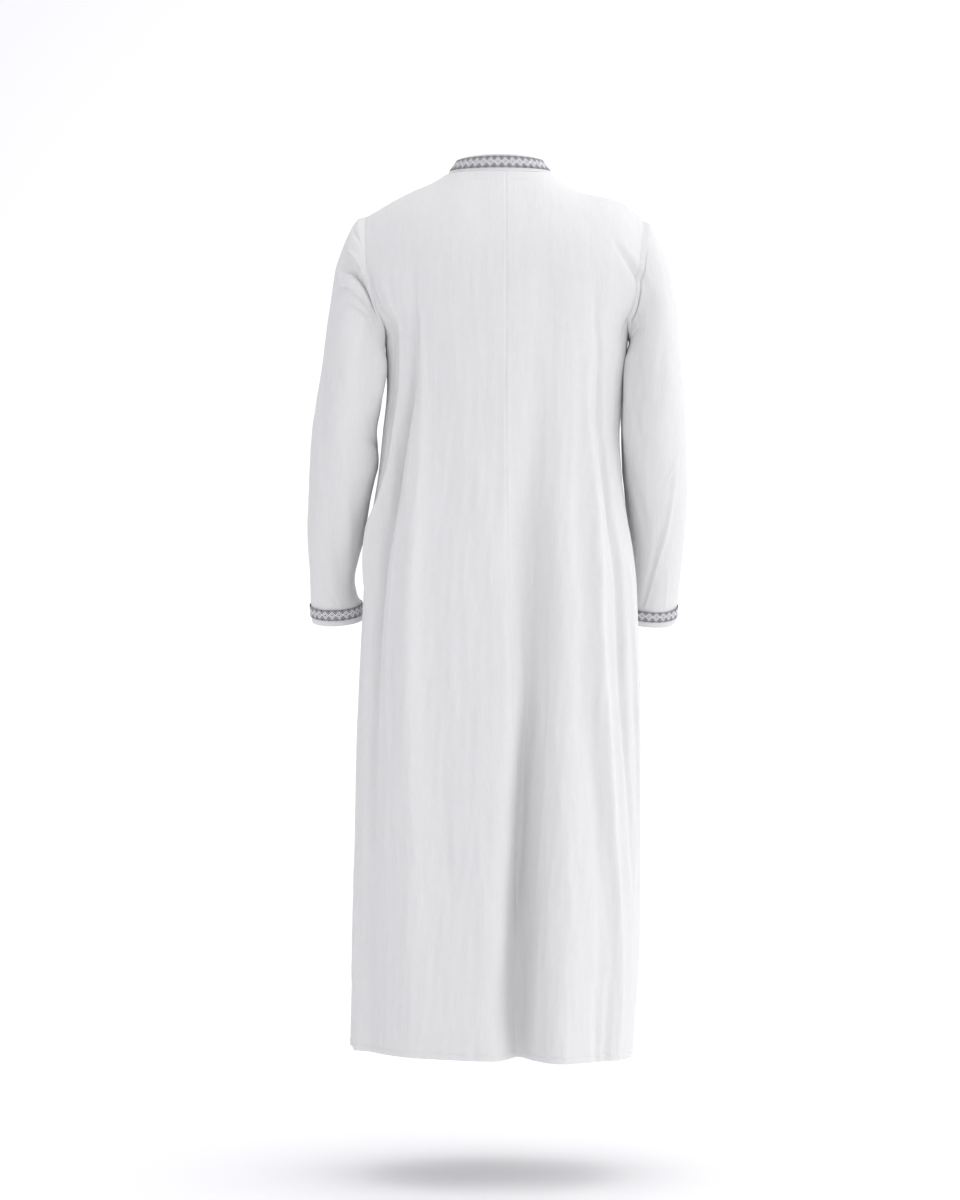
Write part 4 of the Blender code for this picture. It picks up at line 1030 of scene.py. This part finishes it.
def diamond_tape(name):
    """The tape's chart, worked out from its repeat. The first length runs along it, the second across."""
    made, shader = plain_material(name, TAPE_WHITE[:3], 0.8)
    tree = made.node_tree
    step = math_steps(tree)
    lengths = flat_place(tree)[1]

    def within(value, low, high):
        return step("MULTIPLY", step("GREATER_THAN", value, low), step("LESS_THAN", value, high))

    def either(first, second):
        return step("MAXIMUM", first, second)

    along = step("DIVIDE", lengths[0], TAPE_REPEAT)
    off_line = step("ABSOLUTE", step("MULTIPLY_ADD", lengths[1], 2 / TAPE_WIDTH, -1.0))
    off_middle = step("ABSOLUTE", step("SUBTRACT", step("FRACT", along), 0.5))
    diamond = step("MULTIPLY_ADD", off_middle, 2.0, step("DIVIDE", off_line, DIAMOND_HALF_HEIGHT))
    outer_line = within(diamond, 0.80, 1.16)
    inner_line = within(diamond, 0.24, 0.56)
    between = within(diamond, 0.56, 0.80)
    zigzag = within(diamond, 1.36, 1.54)
    outer_zigzag = within(diamond, 1.74, 1.92)
    picked = step("LESS_THAN", step("FRACT", step("MULTIPLY", along, 8)), 0.5)
    edge = step("MULTIPLY", within(off_line, 0.90, 1.0), picked)
    white = either(outer_line, inner_line)
    grey = either(step("MULTIPLY", between, 0.45), step("MULTIPLY", edge, 0.45))
    grey = either(grey, step("MULTIPLY", either(zigzag, outer_zigzag), 0.75))

    def mixed(share, first, second):
        yarn = added(tree, "ShaderNodeMix", {"Factor": share, 6: first, 7: second}, data_type="RGBA")
        return yarn.outputs[2]

    colour = mixed(white, mixed(grey, TAPE_CHARCOAL, TAPE_WHITE), TAPE_WHITE)
    tree.links.new(colour, shader.inputs["Base Color"])
    height = step("MULTIPLY", weave(step, lengths, TAPE_WEAVE), 0.00004)
    raised_by(tree, shader, step("MULTIPLY_ADD", either(white, grey), 0.00018, height))
    return made


woven_tape = diamond_tape("white and charcoal diamond tape")
tape_rows = np.linspace(0, TAPE_WIDTH, TAPE_ROWS)
around, tape_down = np.meshgrid(collar_turn, tape_rows)
tape_points = collar_point(around, (COLLAR_TAPE_FOOT + tape_down) / COLLAR_HEIGHT)
tape_facing = out_from(tape_points, tape_points.mean(axis=1, keepdims=True))
tape_points = tape_points + OFF_COLLAR * tape_facing
tape_across = run_from(tape_points, 1, 0).mean(axis=0, keepdims=True) + 0 * tape_down
collar_tape = cloth_mesh("collar_tape_band", tape_points, woven_tape, tape_across, tape_down,
                         thickness=TAPE_THICKNESS)
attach(collar_tape, "root")
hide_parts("collar_tape")
tape_edges = [line_at(tape_points, tape_facing, tape_down, at) for at in TAPE_SEAMS]
sew("collar_tape_stitches", tape_edges, white_thread, "tape", **TAPE_STITCH)

for side, name in ((1, "left"), (-1, "right")):
    ends = sleeve_point(side, np.array([[LAST_RING - 0.5], [LAST_RING]]), sleeve_angle)
    ring_length = np.linalg.norm(ends[1] - ends[0], axis=-1).mean() / 0.5
    foot = LAST_RING - CUFF_MARGIN / ring_length
    strip = sleeve_point(side, np.linspace(foot - TAPE_WIDTH / ring_length, foot, TAPE_ROWS)[:, None],
                         sleeve_angle)
    facing = out_from(strip, strip.mean(axis=1, keepdims=True), wrap=True)
    strip = strip + OFF_SLEEVE * facing
    around = np.concatenate([strip, strip[:, :1]], axis=1)
    across = run_from(around, 1, 0).mean(axis=0, keepdims=True)
    across = (across * round(across[0, -1] / TAPE_REPEAT) * TAPE_REPEAT / across[0, -1])[0, :-1]
    across, down = np.meshgrid(across, tape_rows)
    cuff = cloth_mesh(f"cuff_tape_{name}_band", strip, woven_tape, across, down, wrap=True,
                      thickness=TAPE_THICKNESS)
    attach(cuff, "root")
    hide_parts(f"cuff_tape_{name}")
    edges = [line_at(strip, facing, down, at) for at in TAPE_SEAMS]
    edges = [np.concatenate([edge, edge[:1]]) for edge in edges]
    sew(f"cuff_tape_{name}_stitches", edges, white_thread, "tape", **TAPE_STITCH)

# The neck opening. A narrow strip of the same cotton closes over the slit, stitched down along both edges,
# with four small white four-holed buttons sewn on down its middle.
PLACKET_THICKNESS = 0.0012
PLACKET_BELOW_SLIT = 0.022
CAD_SLIT_LOW_Z = -0.335
PLACKET_ACROSS = [-0.0170, -0.0168, -0.0160, -0.0150, -0.0100, -0.0050, 0,
                  0.0050, 0.0100, 0.0150, 0.0160, 0.0168, 0.0170]
BUTTON_THICKNESS = 0.0026
BUTTON_FIRST_Z = -0.085
BUTTON_SPACING = 0.072
BUTTON_COUNT = 4
BUTTON_HOLE_RADIUS = 0.00075
BUTTON_HOLE_REACH = 0.0016
BUTTON_OUTLINE = [
    (0.0, 0.0), (0.0052, 0.0), (0.0058, 0.0004), (0.0060, 0.0010), (0.0060, 0.0017), (0.0057, 0.0023),
    (0.0052, 0.0026), (0.0047, 0.0024), (0.0042, 0.0019), (0.0034, 0.0017), (0.0, 0.0017),
]
BUTTON_STITCH = {"length": 0.0012, "gap": -0.0006, "radius": 0.00020}
front_lines = {}


def front_at(x, z):
    """The place on the front panel at x and z near its centre, and the way it faces."""
    if x not in front_lines:
        line = np.concatenate([front_points, front_facing], axis=2)
        front_lines[x] = np.array([[np.interp(x, row[:, 0], row[:, axis]) for axis in range(6)]
                                   for row in line])
    spots = front_lines[x]
    found = np.array([np.interp(-z, -spots[:, 2], spots[:, axis]) for axis in range(6)])
    return found[:3], found[3:] / np.linalg.norm(found[3:])


placket_x = np.array(PLACKET_ACROSS)
placket_z = np.linspace(-NECK_FRONT_DROP - 0.002, CAD_SLIT_LOW_Z - PLACKET_BELOW_SLIT, 60)
placket_spots = np.array([[np.concatenate(front_at(x, z)) for x in placket_x] for z in placket_z])
turned_edge = 0.0003 * bell(placket_x[-1] - np.abs(placket_x), 0.0009)
placket_lift = 0.0003 + PLACKET_THICKNESS - turned_edge
placket_points = placket_spots[..., :3] + placket_lift[None, :, None] * placket_spots[..., 3:]
placket = cloth_mesh("placket_strip", placket_points, white_cotton, *np.meshgrid(placket_x, -placket_z),
                     thickness=PLACKET_THICKNESS)
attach(placket, "root")
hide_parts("placket")

seam_x = 0.015
foot_z = placket_z[-1] + 0.002
sewn = [[(x, z) for z in np.linspace(placket_z[0], foot_z, 40)] for x in (-seam_x, seam_x)]
sewn += [[(x, z) for x in np.linspace(-seam_x, seam_x, 7)] for z in (foot_z, CAD_SLIT_LOW_Z)]
cross_z, cross_half = (CAD_SLIT_LOW_Z + foot_z) / 2, (CAD_SLIT_LOW_Z - foot_z) / 2
for way in (1, -1):
    sewn.append([(seam_x * t, cross_z + way * t * cross_half) for t in np.linspace(-1, 1, 7)])
placket_paths = []
for path in sewn:
    spots = [front_at(x, z) for x, z in path]
    placket_paths.append(np.array([spot + (0.0004 + PLACKET_THICKNESS) * out for spot, out in spots]))
sew("placket_stitches", placket_paths, white_thread, "cloth")

button_face, _ = plain_material("white button", (0.80, 0.80, 0.78), 0.28)


def turned_button():
    """One turned button with a raised rim and four holes, face up about the origin."""
    outline = bpy.data.meshes.new("button outline")
    outline.from_pydata([(x, 0, z - BUTTON_THICKNESS / 2) for x, z in BUTTON_OUTLINE],
                        [(i, i + 1) for i in range(len(BUTTON_OUTLINE) - 1)], [])
    body = placed("button outline", outline)
    spin = body.modifiers.new("turned", "SCREW")
    spin.steps = spin.render_steps = 48
    spin.use_merge_vertices = True
    spin.merge_threshold = 0.00002
    spin.use_normal_calculate = True
    drills = []
    for turn in np.radians([45, 135, 225, 315]):
        bpy.ops.mesh.primitive_cylinder_add(vertices=12, radius=BUTTON_HOLE_RADIUS, depth=0.01)
        drills.append(bpy.context.object)
        drills[-1].location = (BUTTON_HOLE_REACH * np.cos(turn), BUTTON_HOLE_REACH * np.sin(turn), 0)
        hole = body.modifiers.new("hole", "BOOLEAN")
        hole.object = drills[-1]
        hole.operation = "DIFFERENCE"
    bpy.context.view_layer.update()
    made = bpy.data.meshes.new_from_object(body.evaluated_get(bpy.context.evaluated_depsgraph_get()))
    for extra in (body, *drills):
        bpy.data.objects.remove(extra)
    made.materials.clear()
    made.materials.append(button_face)
    made.shade_smooth()
    made.set_sharp_from_angle(angle=np.radians(40))
    return made


button_mesh = turned_button()
for number in range(BUTTON_COUNT):
    spot, out = front_at(0.0, BUTTON_FIRST_Z - number * BUTTON_SPACING)
    lift = 0.0006 + PLACKET_THICKNESS + BUTTON_THICKNESS / 2
    place = Vector(out).to_track_quat("Z", "Y").to_matrix().to_4x4()
    place.translation = Vector(spot + lift * out)
    shape = button_mesh.copy()
    shape.transform(place)
    button = placed(f"button_{number + 1}_turned", shape)
    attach(button, "root")
    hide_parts(f"button_{number + 1}")
    legs = []
    reach = BUTTON_HOLE_REACH * np.sqrt(0.5)
    for slant in (1, -1):
        for offset in (-0.0002, 0.0002):
            steps = zip(np.linspace(-1, 1, 5), [-0.0004, 0.0007, 0.0009, 0.0007, -0.0004])
            legs.append(np.array([place @ Vector((t * reach + offset, slant * (t * reach - offset), up))
                                  for t, up in steps]))
    sew(f"button_{number + 1}_thread", legs, white_thread, "cloth", **BUTTON_STITCH)

# The room. A plain pale floor a little below the hem, soft light from white surroundings that are
# brightest overhead and on the garment's right, and a camera at the photograph's place behind it.
FLOOR_Z = -1.60
CAMERA_PLACE = (0.032, 5.0, -0.6816)
SURROUNDINGS = (0.490, 0.484, 0.520)
Glow = namedtuple("Glow", "way focus strength")
GLOWS = [
    Glow((0, -1, 0), 8, 0.56),
    Glow((-1, 0, 0), 2, 0.66),
    Glow((-1, 0, 0), 10, 1.05),
    Glow((0, 0, 1), 10, 2.60),
    Glow((-1, 0, 1), 6, 0.16),
    Glow((-1, -1, 0), 6, 0.70),
    Glow((-1, 1, 0), 6, 0.86),
    Glow((1, 1, 0), 6, 0.54),
]
bpy.ops.mesh.primitive_plane_add(size=40, location=(0, 0, FLOOR_Z))
floor = bpy.context.object
floor.name = "floor"
floor_finish, _ = plain_material("pale floor", (0.93, 0.93, 0.93), 0.95)
floor.data.materials.append(floor_finish)

room = bpy.data.worlds.new("white room")
bpy.context.scene.world = room
room.use_nodes = True
room_step = math_steps(room.node_tree)
direction = room.node_tree.nodes.new("ShaderNodeTexCoord").outputs["Generated"]
glowing = 0.0
for glow in GLOWS:
    facing_it = added(room.node_tree, "ShaderNodeVectorMath",
                      {0: direction, 1: Vector(glow.way).normalized()}, operation="DOT_PRODUCT")
    lobe = room_step("POWER", room_step("MAXIMUM", facing_it.outputs["Value"], 0.0), float(glow.focus))
    glowing = room_step("MULTIPLY_ADD", lobe, glow.strength, glowing)
all_round = added(room.node_tree, "ShaderNodeVectorMath", {0: SURROUNDINGS, 1: glowing}, operation="ADD")
room.node_tree.links.new(all_round.outputs["Vector"], room.node_tree.nodes["Background"].inputs["Color"])

camera_data = bpy.data.cameras.new("camera")
camera_data.sensor_width = 36
camera_data.lens = 93.75
camera = placed("camera", camera_data)
camera.location = CAMERA_PLACE
camera.rotation_euler = (np.pi / 2, 0, np.pi)
bpy.context.scene.camera = camera
bpy.context.scene.view_settings.view_transform = "Standard"
